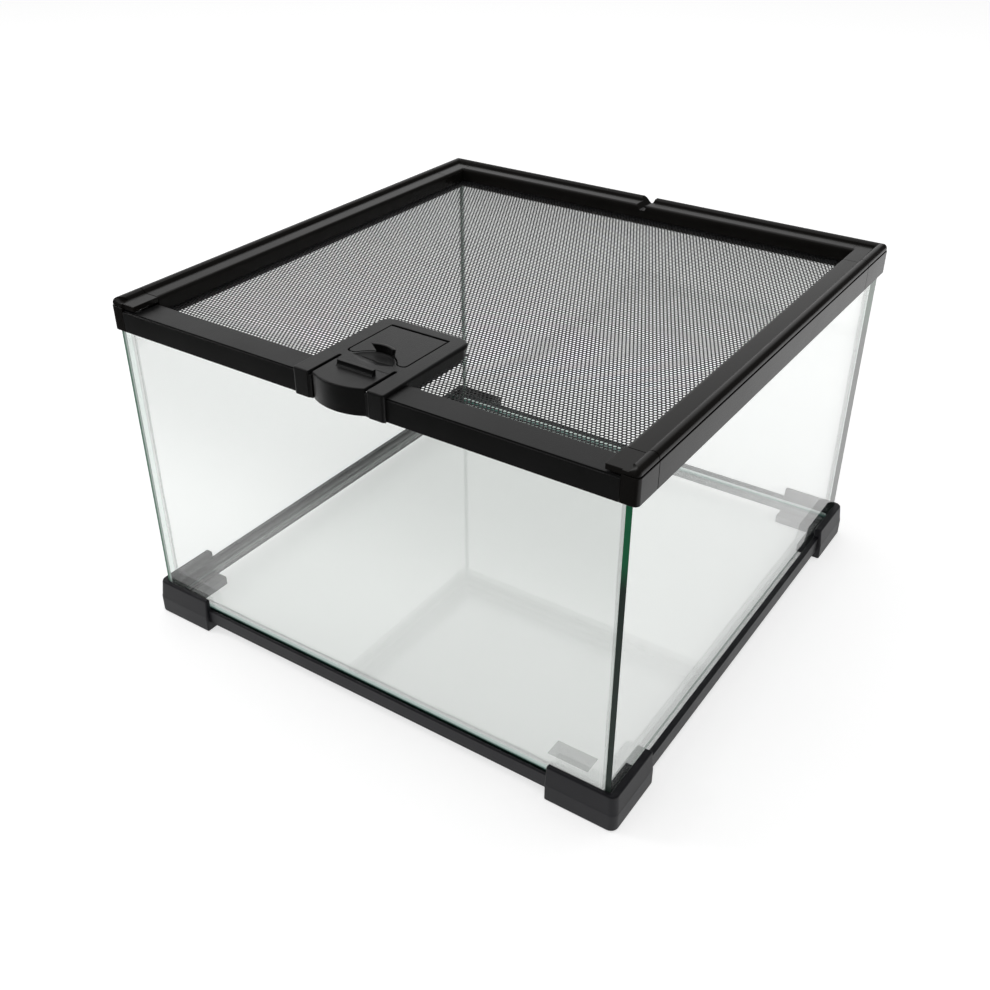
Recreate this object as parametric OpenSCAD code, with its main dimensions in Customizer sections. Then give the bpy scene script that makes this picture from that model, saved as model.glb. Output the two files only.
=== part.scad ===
// Reptile terrarium: a glass tank in a plastic base and top frame, with a mesh
// lid that slides out forwards, a front latch lever and a small feeding hatch.
// Millimetres, +Z up, the front faces -Y, the origin is on the ground at the
// middle of the whole object.

/* [Tank] */
// Width of the top frame, left to right
frame_w = 300.8; // [260:0.4:420]
// Depth of the top frame, front to back
frame_d = 300.8; // [260:0.4:420]
// Height of the top frame's bead above the ground
frame_top = 196; // [170:1:320]
// How far the side panes are set in from the frame's faces
side_inset = 2.9; // [2:0.1:4]
// How far the front and back panes are set in from the frame's faces
end_inset = 1.6; // [1.2:0.1:4]
// Thickness of every glass pane
glass_t = 3; // [2.5:0.1:4]
// Height of the floor pane above the lower edges of the other panes
floor_raise = 4; // [3:0.25:10]
// Gap between the panes that the silicone fills
glue_gap = 0.2; // [0.1:0.05:0.4]
// Leg of the silicone fillets
seal_leg = 3; // [2:0.25:4]

/* [Base] */
// How far the feet stand out from the top frame
foot_out = 2.6; // [2:0.1:5]
// Length of a foot's legs
foot_len = 39; // [30:1:60]
// Height of a foot
foot_h = 21; // [19:0.5:26]
// Height of a foot's upright lower band
foot_band_h = 10.5; // [9:0.5:12]
// How far a foot's upper band leans in
foot_lean = 2.9; // [1:0.1:3]
// Radius of a foot's outer corner
foot_corner_r = 4; // [2:0.5:6]
// Width of a foot's bottom plate
foot_plate_w = 15; // [12:0.5:22]
// Height of a base strip's underside
strip_bottom = 5.5; // [4.5:0.25:6]
// Height of a base strip's top edge
strip_top = 15; // [12:0.5:17]
// Thickness of the lip that the panes stand on
strip_lip_t = 2; // [1.5:0.25:3]
// How far a base strip stands out from the top frame
strip_out = 0.2; // [0:0.1:1]
// How far a base strip reaches into a foot
strip_tuck = 12; // [6:1:20]

/* [Top frame] */
// Width of the rails
rail_w = 16; // [15:0.5:20]
// Height of a rail's outer skirt, up to the top of the bead
rail_h = 15.6; // [14:0.2:20]
// Radius of the bead along a rail's outer edge
bead_r = 2.5; // [2:0.1:3]
// Depth of the ledge below the bead's top
ledge_drop = 1; // [0.5:0.25:1.5]
// Height of the skirt's shadow groove below the bead's top
groove_drop = 4; // [3.6:0.1:4.6]
// Height of the shadow groove
groove_h = 0.6; // [0.4:0.1:1]
// Depth of the shadow groove
groove_depth = 0.9; // [0.5:0.1:1.2]
// How far the bead is set in from the skirt
bead_inset = 0.4; // [0.2:0.1:0.8]
// Height of the panes' upper edges below the bead's top
pane_drop = 6; // [5:0.25:8]
// Length of a front corner piece along the side
front_corner_len = 17.4; // [16:0.2:24]
// Length of a back corner piece along the side
back_corner_len = 34; // [24:1:50]
// Width of a front corner post on the front face
post_w = 8; // [7:0.5:10]
// Radius of the frame's upright corners
frame_corner_r = 3; // [2:0.5:5]
// Width of the cable notch at its top
notch_top_w = 12; // [8:0.5:20]
// Width of the cable notch at its floor
notch_floor_w = 5; // [4.6:0.2:8]
// Depth of the cable notch below the bead's top
notch_depth = 4; // [3:0.25:5]

/* [Mesh lid] */
// Height of the mesh's underside below the bead's top
mesh_drop = 10; // [9.5:0.1:10.5]
// Thickness of the mesh sheet
mesh_t = 0.8; // [0.5:0.1:1]
// Width of the bands between the mesh's openings
mesh_band = 6.8; // [4:0.2:10]
// Depth of the runner grooves in the rails
runner_groove = 4; // [3.5:0.1:4.5]
// Width of the edge runners
runner_w = 3; // [2.5:0.1:3.4]
// Height of the edge runners
runner_h = 1.7; // [1.5:0.1:2]
// Running clearance of the sliding lid
slide_gap = 0.3; // [0.2:0.05:0.5]
// Depth of the lid's front bar
bar_d = 15.9; // [15:0.1:20]
// Height of the bar's top below the bead's top
bar_drop = 4; // [3:0.5:5]
// Wall thickness of the bar
bar_wall = 1.4; // [1:0.1:1.5]
// Thickness of the bar's top and back walls
bar_top_t = 2; // [1.5:0.25:3]
// Thickness of the sill over the front pane
sill_t = 1.6; // [1.2:0.1:2]
// Depth of the sill, front to back
sill_d = 9; // [8:0.5:10]
// Width of the strike plate in the middle of the sill
strike_w = 24; // [16:0.5:40]

/* [Latch housing] */
// Width of the housing
house_w = 52.6; // [46:0.2:60]
// How far the housing reaches behind the hatch's hinge
house_behind = 9.4; // [9:0.2:14]
// Thickness of the housing's top and walls
house_t = 2; // [1.5:0.25:2.5]
// How far the housing's walls stand in from its plate's edge
wall_in = 1.4; // [0.4:0.1:2]
// Radius of the housing's back corners
house_r = 8; // [5:0.5:10]
// How far the housing's cheeks stand in front of the bar
cheek_out = 1.6; // [1:0.2:3]
// Depth of the clamp plate under the mesh
clamp_t = 2.1; // [1.2:0.1:2.1]
// Radius of the housing screws' shanks
screw_r = 1; // [0.8:0.1:1.2]

/* [Latch lever] */
// Width of the lever
lever_w = 30.6; // [26:0.2:32]
// Width of the slits beside the lever
slit_w = 1.7; // [1:0.1:2.2]
// Thickness of the lever's tongue
tongue_t = 1.8; // [1.4:0.1:1.8]
// Distance of the pivot from the front of the frame
pivot_in = 16; // [15.4:0.2:16.4]
// Depth of the pivot below the housing's top face
pivot_drop = 2.6; // [2.4:0.1:2.8]
// Radius of the lever's barrel round the pivot
barrel_r = 2.65; // [2.5:0.05:2.8]
// Radius of the pivot pin
pivot_r = 1; // [0.8:0.05:1.2]
// Radial running clearance of the pins
pin_gap = 0.05; // [0.03:0.01:0.09]
// How far the fascia's middle stands out from the frame
fascia_out = 4.6; // [3:0.1:6]
// How far the fascia's ends stand out from the frame
fascia_end_out = 0.6; // [0.4:0.1:1]
// Height of the grip rib
grip_h = 2.6; // [1.5:0.1:3.5]
// Width of the grip rib
grip_w = 21; // [16:0.5:24]

/* [Feeding hatch] */
// Width of the hatch
hatch_w = 33.6; // [30:0.2:35]
// Distance of the hatch's front edge from the front of the frame
hatch_front_in = 26; // [25.5:0.1:26.5]
// Distance of the hatch's hinge from the front of the frame
hatch_hinge_in = 58.1; // [56:0.1:60]
// Gap round the hatch
hatch_gap = 0.6; // [0.4:0.05:0.8]
// Radius of the hatch's hinge pin
hatch_pin_r = 0.75; // [0.6:0.05:0.8]
// Radius of the hatch's hinge barrel
hatch_barrel_r = 1.6; // [1.5:0.05:1.7]
// Radius of the hatch's front edge round the finger dish
dish_edge_r = 13.9; // [13:0.1:15]
// Depth of the finger dish
dish_depth = 2.9; // [2:0.1:3]
// Width of the finger tab
tab_w = 15; // [10:0.5:18]
// Height of the finger tab above the hatch
tab_h = 4; // [3:0.25:6]
// Width of the feeding port
port_w = 28; // [22:0.5:30]

/* [Hidden] */
$fn = 64;

eps = 0.01;
fit = 0.1;
far = 1000;

// Faces of the glass box
glass_x = frame_w / 2 - side_inset;
glass_y = frame_d / 2 - end_inset;
pane_in_x = glass_x - glass_t;
pane_in_y = glass_y - glass_t;
pane_bottom = strip_bottom + strip_lip_t;
pane_top = frame_top - pane_drop;
floor_bottom = pane_bottom + floor_raise;
seal_mitre = 0.06;
floor_top = floor_bottom + glass_t;

// Outer faces of the frame, the strips and the feet
frame_x = frame_w / 2;
frame_y = frame_d / 2;
strip_x = frame_x + strip_out;
strip_y = frame_y + strip_out;
foot_x = frame_x + foot_out;
foot_y = frame_y + foot_out;

// Heights of the top frame and the lid
skirt_bottom = frame_top - rail_h;
ledge_z = frame_top - ledge_drop;
groove_z = frame_top - groove_drop;
rail_roof_t = 2;
mesh_z = frame_top - mesh_drop;
runner_z = mesh_z + mesh_t / 2;
groove_clear = slide_gap - 0.05;
groove_low = runner_z - runner_h / 2 - groove_clear;
groove_high = runner_z + runner_h / 2 + groove_clear;
groove_floor_t = 1.9;
block_bottom = groove_low - groove_floor_t;
clamp_bottom = mesh_z - clamp_t;
sill_top = clamp_bottom - slide_gap;
front_pane_top = sill_top - sill_t;
bar_top = frame_top - bar_drop;
bar_bottom = clamp_bottom + 1;
inner_x = frame_x - rail_w;
inner_y = frame_y - rail_w;
groove_x = inner_x + runner_groove;
groove_y = inner_y + runner_groove;
runner_x = groove_x - slide_gap;
runner_y = groove_y - slide_gap;
mesh_rows = 12;

// The latch housing, with front as the frame's front face
front = -frame_y;
house_x = house_w / 2;
house_top = bar_top + house_t;
house_front = front - cheek_out;
hinge_y = front + hatch_hinge_in;
house_back = hinge_y + house_behind;
wall_x = house_x - wall_in;
wall_back = house_back - wall_in;
lever_x = lever_w / 2;
slot_x = lever_x + slit_w;
bar_back = front + bar_d;
cheek_bottom = skirt_bottom - 0.2;

// The lever's pivot and the hatch's hinge
pivot_y = front + pivot_in;
pivot_z = house_top - pivot_drop;
barrel_gap = 0.25;
lug_w = 2.8;
slit_end_y = pivot_y + 4.6;
hinge_z = house_top - hatch_barrel_r;
hatch_x = hatch_w / 2;
hatch_front = front + hatch_front_in;
hinge_boss_w = 2.6;
ledge_t = 1.5;
ledge_top = house_top - house_t - fit;
port_back = hinge_y - 4.2;

// The finger dish: its back edge follows the hatch, its front edge is flatter
dish_land = 1.2;
dish_back_r = dish_edge_r - dish_land;
hatch_hollow = 7.4;
dish_arc_y = hatch_front + hatch_hollow - dish_edge_r;
dish_front_y = pivot_y + 3.8;
dish_front_r = 22.8;
dish_mid_y = (dish_arc_y + dish_back_r + dish_front_y) / 2;
dish_half_w = 12.3;
dish_ball_r = (dish_half_w * dish_half_w + dish_depth * dish_depth) / (2 * dish_depth);
cup_wall = 1;
port_front = dish_arc_y + dish_edge_r + 1.5;

// Screws of the housing, as places on the right half
boss_r = 2.4;
back_screw_in = 7.3;
screw_places = [
    [wall_x - house_t - boss_r + 0.5, hatch_front],
    [wall_x - back_screw_in, hinge_y + hatch_barrel_r + hatch_gap + boss_r + 0.7]
];
screw_len = 7;
screw_head_r = 2;
screw_head_h = 1;

// The latch's tooth and its spring
tooth_in = 8.2;
tooth_y = pivot_y - tooth_in;
tooth_t = 2.2;
tooth_w = 8;
strike_x = strike_w / 2;
shelf_y = tooth_y + 1;
shelf_t = 1.3;
shelf_top = mesh_z + mesh_t + 1.1;
spring_y = (shelf_y + pivot_y - barrel_r) / 2;
spring_r = 1.3;
spring_wire = 0.45;
spring_turns = 4;
spring_base = shelf_top;
spring_h = house_top - tongue_t - spring_base;

// Moves the model so that the origin is under the middle of its outer box
centre_y = (foot_y - frame_y - fascia_out) / 2;
module place() {
    translate([0, -centre_y, 0]) children();
}

// A child drawn on the left, the same mirrored to the right, and both
module mirrored_x() {
    mirror([1, 0, 0]) children();
}
module both_sides() {
    children();
    mirrored_x() children();
}

// A box from its lowest to its highest corner
module box(low, high) {
    translate(low) cube(high - low);
}

// ---------------------------------------------------------------- glass tank

module pane(low, high) {
    color([0.75, 0.88, 0.83, 0.35]) box(low, high);
}

module side_pane() {
    pane([-glass_x, -glass_y, pane_bottom], [-pane_in_x, glass_y, pane_top]);
}

module front_glass() {
    x = pane_in_x - glue_gap;
    place() pane([-x, -glass_y, pane_bottom], [x, -pane_in_y, front_pane_top]);
}

module back_glass() {
    x = pane_in_x - glue_gap;
    place() pane([-x, pane_in_y, pane_bottom], [x, glass_y, pane_top]);
}

module left_glass() {
    place() side_pane();
}

module right_glass() {
    place() mirrored_x() side_pane();
}

module floor_glass() {
    x = pane_in_x - glue_gap;
    y = pane_in_y - glue_gap;
    place() pane([-x, -y, floor_bottom], [x, y, floor_top]);
}

// The hollow fillet of a silicone seam, in the corner between +X and +Y
module seal_section(leg) {
    difference() {
        square(leg);
        translate([leg, leg]) circle(leg);
    }
}

// An upright seam in the front left corner, with the part that fills the gap
module upright_seal(top) {
    bottom = floor_top + seal_leg;
    color([0.86, 0.89, 0.88, 0.6]) {
        translate([-pane_in_x, -pane_in_y, bottom])
            linear_extrude(top - bottom) seal_section(seal_leg);
        box([-pane_in_x, -glass_y, bottom], [-pane_in_x + glue_gap, -pane_in_y + eps, top]);
    }
}

module corner_seal_front_left() {
    place() upright_seal(front_pane_top);
}

module corner_seal_front_right() {
    place() mirrored_x() upright_seal(front_pane_top);
}

module corner_seal_back_left() {
    place() mirror([0, 1, 0]) upright_seal(block_bottom);
}

module corner_seal_back_right() {
    place() mirror([0, 1, 0]) mirrored_x() upright_seal(block_bottom);
}

// One side of the floor seam, along +Y at the left pane
module floor_seal_side(half_x, half_y) {
    translate([-half_x, half_y, floor_top])
        rotate([90, 0, 0]) linear_extrude(2 * half_y) seal_section(seal_leg);
}

// Mitres that part the floor seam into its four sides
module seal_mitres() {
    for (x = [-1, 1], y = [-1, 1])
        translate([x * pane_in_x, y * pane_in_y, 0]) rotate([0, 0, x * y * 45])
            box([-2 * seal_leg, -seal_mitre / 2, floor_bottom - 1],
                [2 * seal_leg, seal_mitre / 2, floor_top + seal_leg + 1]);
}

module floor_seal() {
    color([0.86, 0.89, 0.88, 0.6]) place() difference() {
        union() {
            intersection() {
                box([-pane_in_x, -pane_in_y, floor_top],
                    [pane_in_x, pane_in_y, floor_top + seal_leg]);
                union() {
                    both_sides() floor_seal_side(pane_in_x, pane_in_y);
                    rotate([0, 0, 90]) both_sides() floor_seal_side(pane_in_y, pane_in_x);
                }
            }
            difference() {
                box([-pane_in_x, -pane_in_y, floor_bottom],
                    [pane_in_x, pane_in_y, floor_top + eps]);
                box([glue_gap - pane_in_x, glue_gap - pane_in_y, floor_bottom - 1],
                    [pane_in_x - glue_gap, pane_in_y - glue_gap, floor_top + 1]);
            }
        }
        seal_mitres();
    }
}

// ---------------------------------------------------------------------- base

// A base strip along Y with its outer face at x = 0, inwards is +X.
// glass_in is the distance from the strip's face to the pane's.
module base_strip(length, glass_in) {
    translate([0, length / 2, 0]) rotate([90, 0, 0]) linear_extrude(length) {
        translate([0, strip_bottom]) square([glass_in - fit / 2, strip_top - strip_bottom]);
        translate([0, strip_bottom]) square([glass_in + glass_t, strip_lip_t]);
    }
}

module side_strip() {
    base_strip(2 * (foot_y - foot_len + strip_tuck), strip_x - glass_x);
}

module end_strip() {
    base_strip(2 * (foot_x - foot_len + strip_tuck), strip_y - glass_y);
}

module left_strip_shape() {
    translate([-strip_x, 0, 0]) side_strip();
}

module front_strip_shape() {
    translate([0, -strip_y, 0]) rotate([0, 0, 90]) mirror([0, 1, 0]) end_strip();
}

module base_strip_left() {
    color("dimgray") place() left_strip_shape();
}

module base_strip_right() {
    color("dimgray") place() mirrored_x() left_strip_shape();
}

module base_strip_front() {
    color("dimgray") place() front_strip_shape();
}

module base_strip_back() {
    color("dimgray") place() mirror([0, 1, 0]) front_strip_shape();
}

// The outside of a foot: an upright band under a band that leans in
module foot_outside() {
    module slab(inset, z, h) {
        translate([inset, inset, z]) linear_extrude(h) intersection() {
            square(foot_len - inset);
            translate([foot_corner_r, foot_corner_r]) union() {
                circle(foot_corner_r, $fn = 32);
                translate([-foot_corner_r, 0]) square(foot_len);
                translate([0, -foot_corner_r]) square(foot_len);
            }
        }
    }
    hull() {
        slab(0, 0, foot_band_h);
        slab(foot_lean, foot_h - eps, eps);
    }
}

// The front left foot: walls round the corner and a plate below it, with
// pockets for the panes and for the ends of two strips
module foot() {
    wall_x = foot_x - glass_x;
    wall_y = foot_y - glass_y;
    color([0.2, 0.2, 0.21]) place() difference() {
        intersection() {
            translate([-foot_x, -foot_y, 0]) foot_outside();
            translate([-foot_x, -foot_y, 0]) union() {
                cube([wall_x, foot_len, foot_h]);
                cube([foot_len, wall_y, foot_h]);
                cube([wall_x + glass_t, foot_len, pane_bottom]);
                cube([foot_len, wall_y + glass_t, pane_bottom]);
                cube([foot_plate_w, foot_len, strip_bottom]);
                cube([foot_len, foot_plate_w, strip_bottom]);
            }
        }
        box([-glass_x - fit, -glass_y - fit, pane_bottom], [0, 0, far]);
        left_strip_shape();
        front_strip_shape();
    }
}

module foot_front_left() {
    foot();
}

module foot_front_right() {
    mirrored_x() foot();
}

// The back feet are the front ones turned about the tank's own middle
module foot_back_left() {
    place() mirror([0, 1, 0]) translate([0, centre_y, 0]) foot();
}

module foot_back_right() {
    mirrored_x() foot_back_left();
}

// ----------------------------------------------------------------- top frame

// A rail's section without its channels: x inwards from the outer face, y up
module rail_outline(width) {
    bead_x = bead_inset + bead_r;
    bead_y = frame_top - bead_r;
    translate([0, skirt_bottom]) square([width, groove_z - skirt_bottom]);
    translate([groove_depth, skirt_bottom]) square([width - groove_depth, bead_y - skirt_bottom]);
    translate([bead_inset, groove_z + groove_h]) square([width - bead_inset, bead_y - groove_z - groove_h]);
    translate([bead_x, skirt_bottom]) square([width - bead_x, ledge_z - skirt_bottom]);
    translate([bead_x, bead_y]) circle(bead_r);
}

// All that lies inwards of a rail's outer side, as high as the bead
module rail_envelope(width) {
    bead_x = bead_inset + bead_r;
    rail_outline(width);
    translate([bead_x, skirt_bottom]) square([width - bead_x, rail_h]);
}

// The channels of a rail: glass_in is the distance from its face to the pane
module rail_channels(glass_in, width) {
    rib_t = 1.8;
    core_x = glass_in + glass_t + rib_t;
    core_w = 2.8;
    // Below the block only the outer skirt is left
    translate([glass_in - fit, 0]) square([width, block_bottom]);
    translate([glass_in - fit, 0]) square([glass_t + 2 * fit, pane_top + fit]);
    // Hollow core, under a roof
    translate([core_x, 0]) square([core_w, ledge_z - rail_roof_t]);
    translate([width - runner_groove, groove_low]) square([runner_groove + 1, groove_high - groove_low]);
}

// A rail along Y with its outer face at x = 0, inwards is +X
module rail_bar(low_y, high_y, glass_in) {
    translate([0, high_y, 0]) rotate([90, 0, 0]) linear_extrude(high_y - low_y) difference() {
        rail_outline(rail_w);
        rail_channels(glass_in, rail_w);
    }
}

rail_colour = [0.16, 0.16, 0.17];

module side_rail() {
    color(rail_colour) place() translate([-frame_x, 0, 0])
        rail_bar(-frame_y + front_corner_len, frame_y - back_corner_len, frame_x - glass_x);
}

module rail_left() {
    side_rail();
}

module rail_right() {
    mirrored_x() side_rail();
}

// The notch that lets a lead out over the back rail
module cable_notch() {
    translate([0, frame_y + 1, 0]) rotate([90, 0, 0]) linear_extrude(rail_w + 2)
        polygon([
            [-notch_floor_w / 2, frame_top - notch_depth],
            [notch_floor_w / 2, frame_top - notch_depth],
            [notch_top_w / 2, frame_top + eps],
            [notch_top_w / 2, frame_top + 1],
            [-notch_top_w / 2, frame_top + 1],
            [-notch_top_w / 2, frame_top + eps]
        ]);
}

module rail_back() {
    color(rail_colour) place() difference() {
        translate([0, frame_y, 0]) rotate([0, 0, -90]) rail_bar(-inner_x, inner_x, frame_y - glass_y);
        cable_notch();
    }
}

// A prism through the frame's outline with its upright corner rounded; the
// corner is at the origin and inwards is +X and +Y
module round_corner(size_x, size_y) {
    r = frame_corner_r;
    linear_extrude(far) {
        translate([r, r]) circle(r);
        translate([r, 0]) square([size_x - r, size_y]);
        translate([0, r]) square([size_x, size_y - r]);
    }
}

// Pockets of the corner pieces for the panes and the sill
module corner_pockets() {
    // Panes of the tank, inside their clearance
    both_sides() box([-glass_x - fit, -glass_y - fit, 0], [-pane_in_x + fit, glass_y + fit, pane_top + fit]);
    box([-pane_in_x, pane_in_y - fit, 0], [pane_in_x, glass_y + fit, pane_top + fit]);
    // Everything inside the skirts, below the blocks
    box([-glass_x - fit, -glass_y - fit, 0], [glass_x + fit, glass_y + fit, block_bottom]);
    box([-pane_in_x, -far, 0], [pane_in_x, -glass_y + rail_w + 3, sill_top + fit]);
    // Grooves for the lid's runners
    box([-groove_x, -far, groove_low], [groove_x, groove_y, groove_high]);
}

// The front left corner piece: a post beside the lid's bar, and a block
// behind the bar's end
module front_corner() {
    bar_front_t = bar_wall + 1.5;
    color(rail_colour) place() difference() {
        intersection() {
            translate([-frame_x, front + front_corner_len, 0])
                rotate([90, 0, 0]) linear_extrude(front_corner_len) rail_outline(rail_w);
            translate([-frame_x, front, 0]) rotate([90, 0, 90])
                linear_extrude(rail_w) rail_envelope(front_corner_len);
            translate([-frame_x, front, 0]) round_corner(rail_w, front_corner_len);
        }
        // Room for the front wall of the lid's bar
        box([-frame_x + post_w, front - 1, 0], [0, front + bar_front_t, far]);
        corner_pockets();
    }
}

module top_corner_front_left() {
    front_corner();
}

module top_corner_front_right() {
    mirrored_x() front_corner();
}

// The back left corner piece: the side bead and the back bead meet in it
module back_corner() {
    color(rail_colour) place() difference() {
        intersection() {
            union() {
                translate([-frame_x, frame_y, 0])
                    rotate([90, 0, 0]) linear_extrude(back_corner_len) rail_outline(rail_w);
                translate([-frame_x, frame_y, 0]) mirror([0, 1, 0]) rotate([90, 0, 90])
                    linear_extrude(rail_w) rail_outline(rail_w);
            }
            translate([-frame_x, frame_y, 0])
                rotate([90, 0, 0]) linear_extrude(back_corner_len) rail_envelope(rail_w);
            translate([-frame_x, frame_y, 0]) mirror([0, 1, 0]) rotate([90, 0, 90])
                linear_extrude(rail_w) rail_envelope(back_corner_len);
            translate([-frame_x, frame_y, 0]) mirror([0, 1, 0]) round_corner(rail_w, back_corner_len);
        }
        corner_pockets();
    }
}

module top_corner_back_left() {
    back_corner();
}

module top_corner_back_right() {
    mirrored_x() back_corner();
}

// A stretch of the cap on the front pane, with the lip behind the pane
module sill_stretch(low_x, high_x) {
    lip_t = 1.4;
    lip_h = 1.4;
    lip_y = -pane_in_y + fit / 2;
    box([low_x, -glass_y, front_pane_top], [high_x, sill_d - glass_y, sill_top]);
    box([low_x, lip_y, front_pane_top - lip_h], [high_x, lip_y + lip_t, front_pane_top + eps]);
}

// The cap's two halves, left and right of the strike plate
module front_sill() {
    color(rail_colour) place() both_sides() difference() {
        sill_stretch(glue_gap - pane_in_x, -strike_x - fit);
        // The corner seal comes up beside the lip
        box([-pane_in_x, -pane_in_y, 0], [-pane_in_x + seal_leg, 0, front_pane_top]);
    }
}

// The cap's middle, with the notch that the latch's tooth drops into
module latch_strike() {
    notch_x = tooth_w / 2 + 0.5;
    color(rail_colour) place() difference() {
        sill_stretch(-strike_x, strike_x);
        box([-notch_x, tooth_y - tooth_t - 0.9, front_pane_top - 0.5], [notch_x, tooth_y + 1.2, sill_top + 1]);
    }
}

// ------------------------------------------------------------------ mesh lid

lid_colour = [0.13, 0.13, 0.14];
mesh_colour = [0.3, 0.3, 0.31];

// The bar's section: x is the depth behind its front face, y is up
module bar_section() {
    step = 0.8;
    polygon([
        [0, skirt_bottom], [bar_wall, skirt_bottom], [bar_wall, bar_top - bar_top_t],
        [bar_d - bar_top_t, bar_top - bar_top_t], [bar_d - bar_top_t, bar_bottom],
        [bar_d, bar_bottom], [bar_d, bar_top], [step, bar_top], [step, bar_top - step],
        [0, bar_top - step]
    ]);
}

// The sheet of the lid before any hole is cut in it
module mesh_sheet() {
    edge = 0.5;
    box([-runner_x + edge, bar_back - 1.3, mesh_z], [runner_x - edge, runner_y - edge, mesh_z + mesh_t]);
}

module lid_bar() {
    end_x = inner_x - slide_gap;
    wall_x = frame_x - post_w - slide_gap;
    lug_x = slot_x + lug_w + 0.3;
    color(lid_colour) place() {
        difference() {
            translate([-wall_x, front, 0]) rotate([90, 0, 90]) linear_extrude(2 * wall_x) bar_section();
            // Past the corner blocks only the front wall goes on
            both_sides() box([-far, front + bar_wall + 1.2, 0], [-end_x, 0, far]);
            // Window for the lever, with a tie left below it
            box([-slot_x, front - 1, 0], [slot_x, bar_back - bar_top_t, far]);
            box([-lug_x, pivot_y - 3.2, shelf_top], [lug_x, 0, far]);
            mesh_sheet();
        }
        // Shelf under the spring
        box([-slot_x, shelf_y, shelf_top - shelf_t], [slot_x, bar_back - bar_top_t, shelf_top]);
    }
}

// Openings of the mesh: a plain grid that leaves the housing's footing whole
module mesh_openings() {
    open_x = 2 * (runner_x - runner_w) / mesh_rows;
    open_y = (runner_y - runner_w - bar_back) / mesh_rows;
    for (i = [0 : mesh_rows - 1], k = [0 : mesh_rows - 1]) {
        low_x = (i - mesh_rows / 2) * open_x + mesh_band / 2;
        high_x = low_x + open_x - mesh_band;
        low_y = bar_back + k * open_y + mesh_band / 2;
        high_y = low_y + open_y - mesh_band;
        if (low_x > wall_x + 0.5 || high_x < -wall_x - 0.5 || low_y > wall_back + 0.5)
            box([low_x, low_y, mesh_z - 1], [high_x, high_y, mesh_z + mesh_t + 1]);
    }
}

module mesh_panel() {
    color(mesh_colour) place() difference() {
        mesh_sheet();
        mesh_openings();
        port_cut();
        screw_holes(screw_r + 0.15);
    }
}

// An edge runner along Y, folded round the sheet's left edge
module runner(low_y, high_y) {
    color(lid_colour) place() difference() {
        box([-runner_x, low_y, runner_z - runner_h / 2],
            [-runner_x + runner_w, high_y, runner_z + runner_h / 2]);
        mesh_sheet();
    }
}

module mesh_runner_left() {
    runner(bar_back, runner_y - runner_w);
}

module mesh_runner_right() {
    mirrored_x() mesh_runner_left();
}

module mesh_back_trim() {
    color(lid_colour) place() difference() {
        box([-runner_x, runner_y - runner_w, runner_z - runner_h / 2],
            [runner_x, runner_y, runner_z + runner_h / 2]);
        mesh_sheet();
    }
}

// ------------------------------------------------------------- latch housing

// The feeding port through the housing, the mesh and the clamp plate
module port_cut() {
    box([-port_w / 2, port_front, 0], [port_w / 2, port_back, ledge_top + 1]);
}

module screw_holes(r) {
    both_sides() for (p = screw_places)
        translate([p.x, p.y, 0]) cylinder(r = r, h = far);
}

// The housing's outline, drawn in by inset
module house_outline(inset) {
    r = house_r - inset;
    x = house_x - inset;
    translate([-x, house_front + inset]) square([2 * x, house_back - house_front - 2 * inset - r]);
    translate([-x + r, house_front + inset]) square([2 * (x - r), house_back - house_front - 2 * inset]);
    for (side = [-1, 1])
        translate([side * (x - r), house_back - inset - r]) circle(r);
}

// The hatch's outline: sharp at the hinge, rounded and hollowed in front
module hatch_outline(grow) {
    r = 1.8 + grow;
    x = hatch_x + grow;
    low = hatch_front - grow;
    difference() {
        union() {
            translate([-x, low + r]) square([2 * x, hinge_y - low - r]);
            translate([-x + r, low]) square([2 * (x - r), hinge_y - low]);
            for (side = [-1, 1])
                translate([side * (x - r), low + r]) circle(r);
        }
        translate([0, dish_arc_y]) circle(dish_edge_r - grow);
    }
}

// The finger dish's outline, grown all round
module dish_outline(grow) {
    intersection() {
        translate([0, dish_arc_y]) circle(dish_back_r + grow);
        translate([0, dish_front_y + dish_front_r]) circle(dish_front_r + grow);
    }
}

// A rod along X through a pivot
module rod_x(r, length, y, z) {
    translate([-length / 2, y, z]) rotate([0, 90, 0]) cylinder(r = r, h = length);
}

module lever_slot() {
    translate([0, 0, cheek_bottom - 1]) linear_extrude(far) {
        translate([-slot_x, house_front - 1]) square([2 * slot_x, pivot_y - house_front + 1]);
        for (side = [-1, 1]) {
            mid = side * (lever_x + slit_w / 2);
            end_y = slit_end_y - slit_w / 2;
            translate([mid - slit_w / 2, pivot_y - 1]) square([slit_w, end_y - pivot_y + 1]);
            translate([mid, end_y]) circle(slit_w / 2);
        }
    }
    rod_x(barrel_r + barrel_gap, 2 * slot_x, pivot_y, pivot_z);
}

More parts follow.
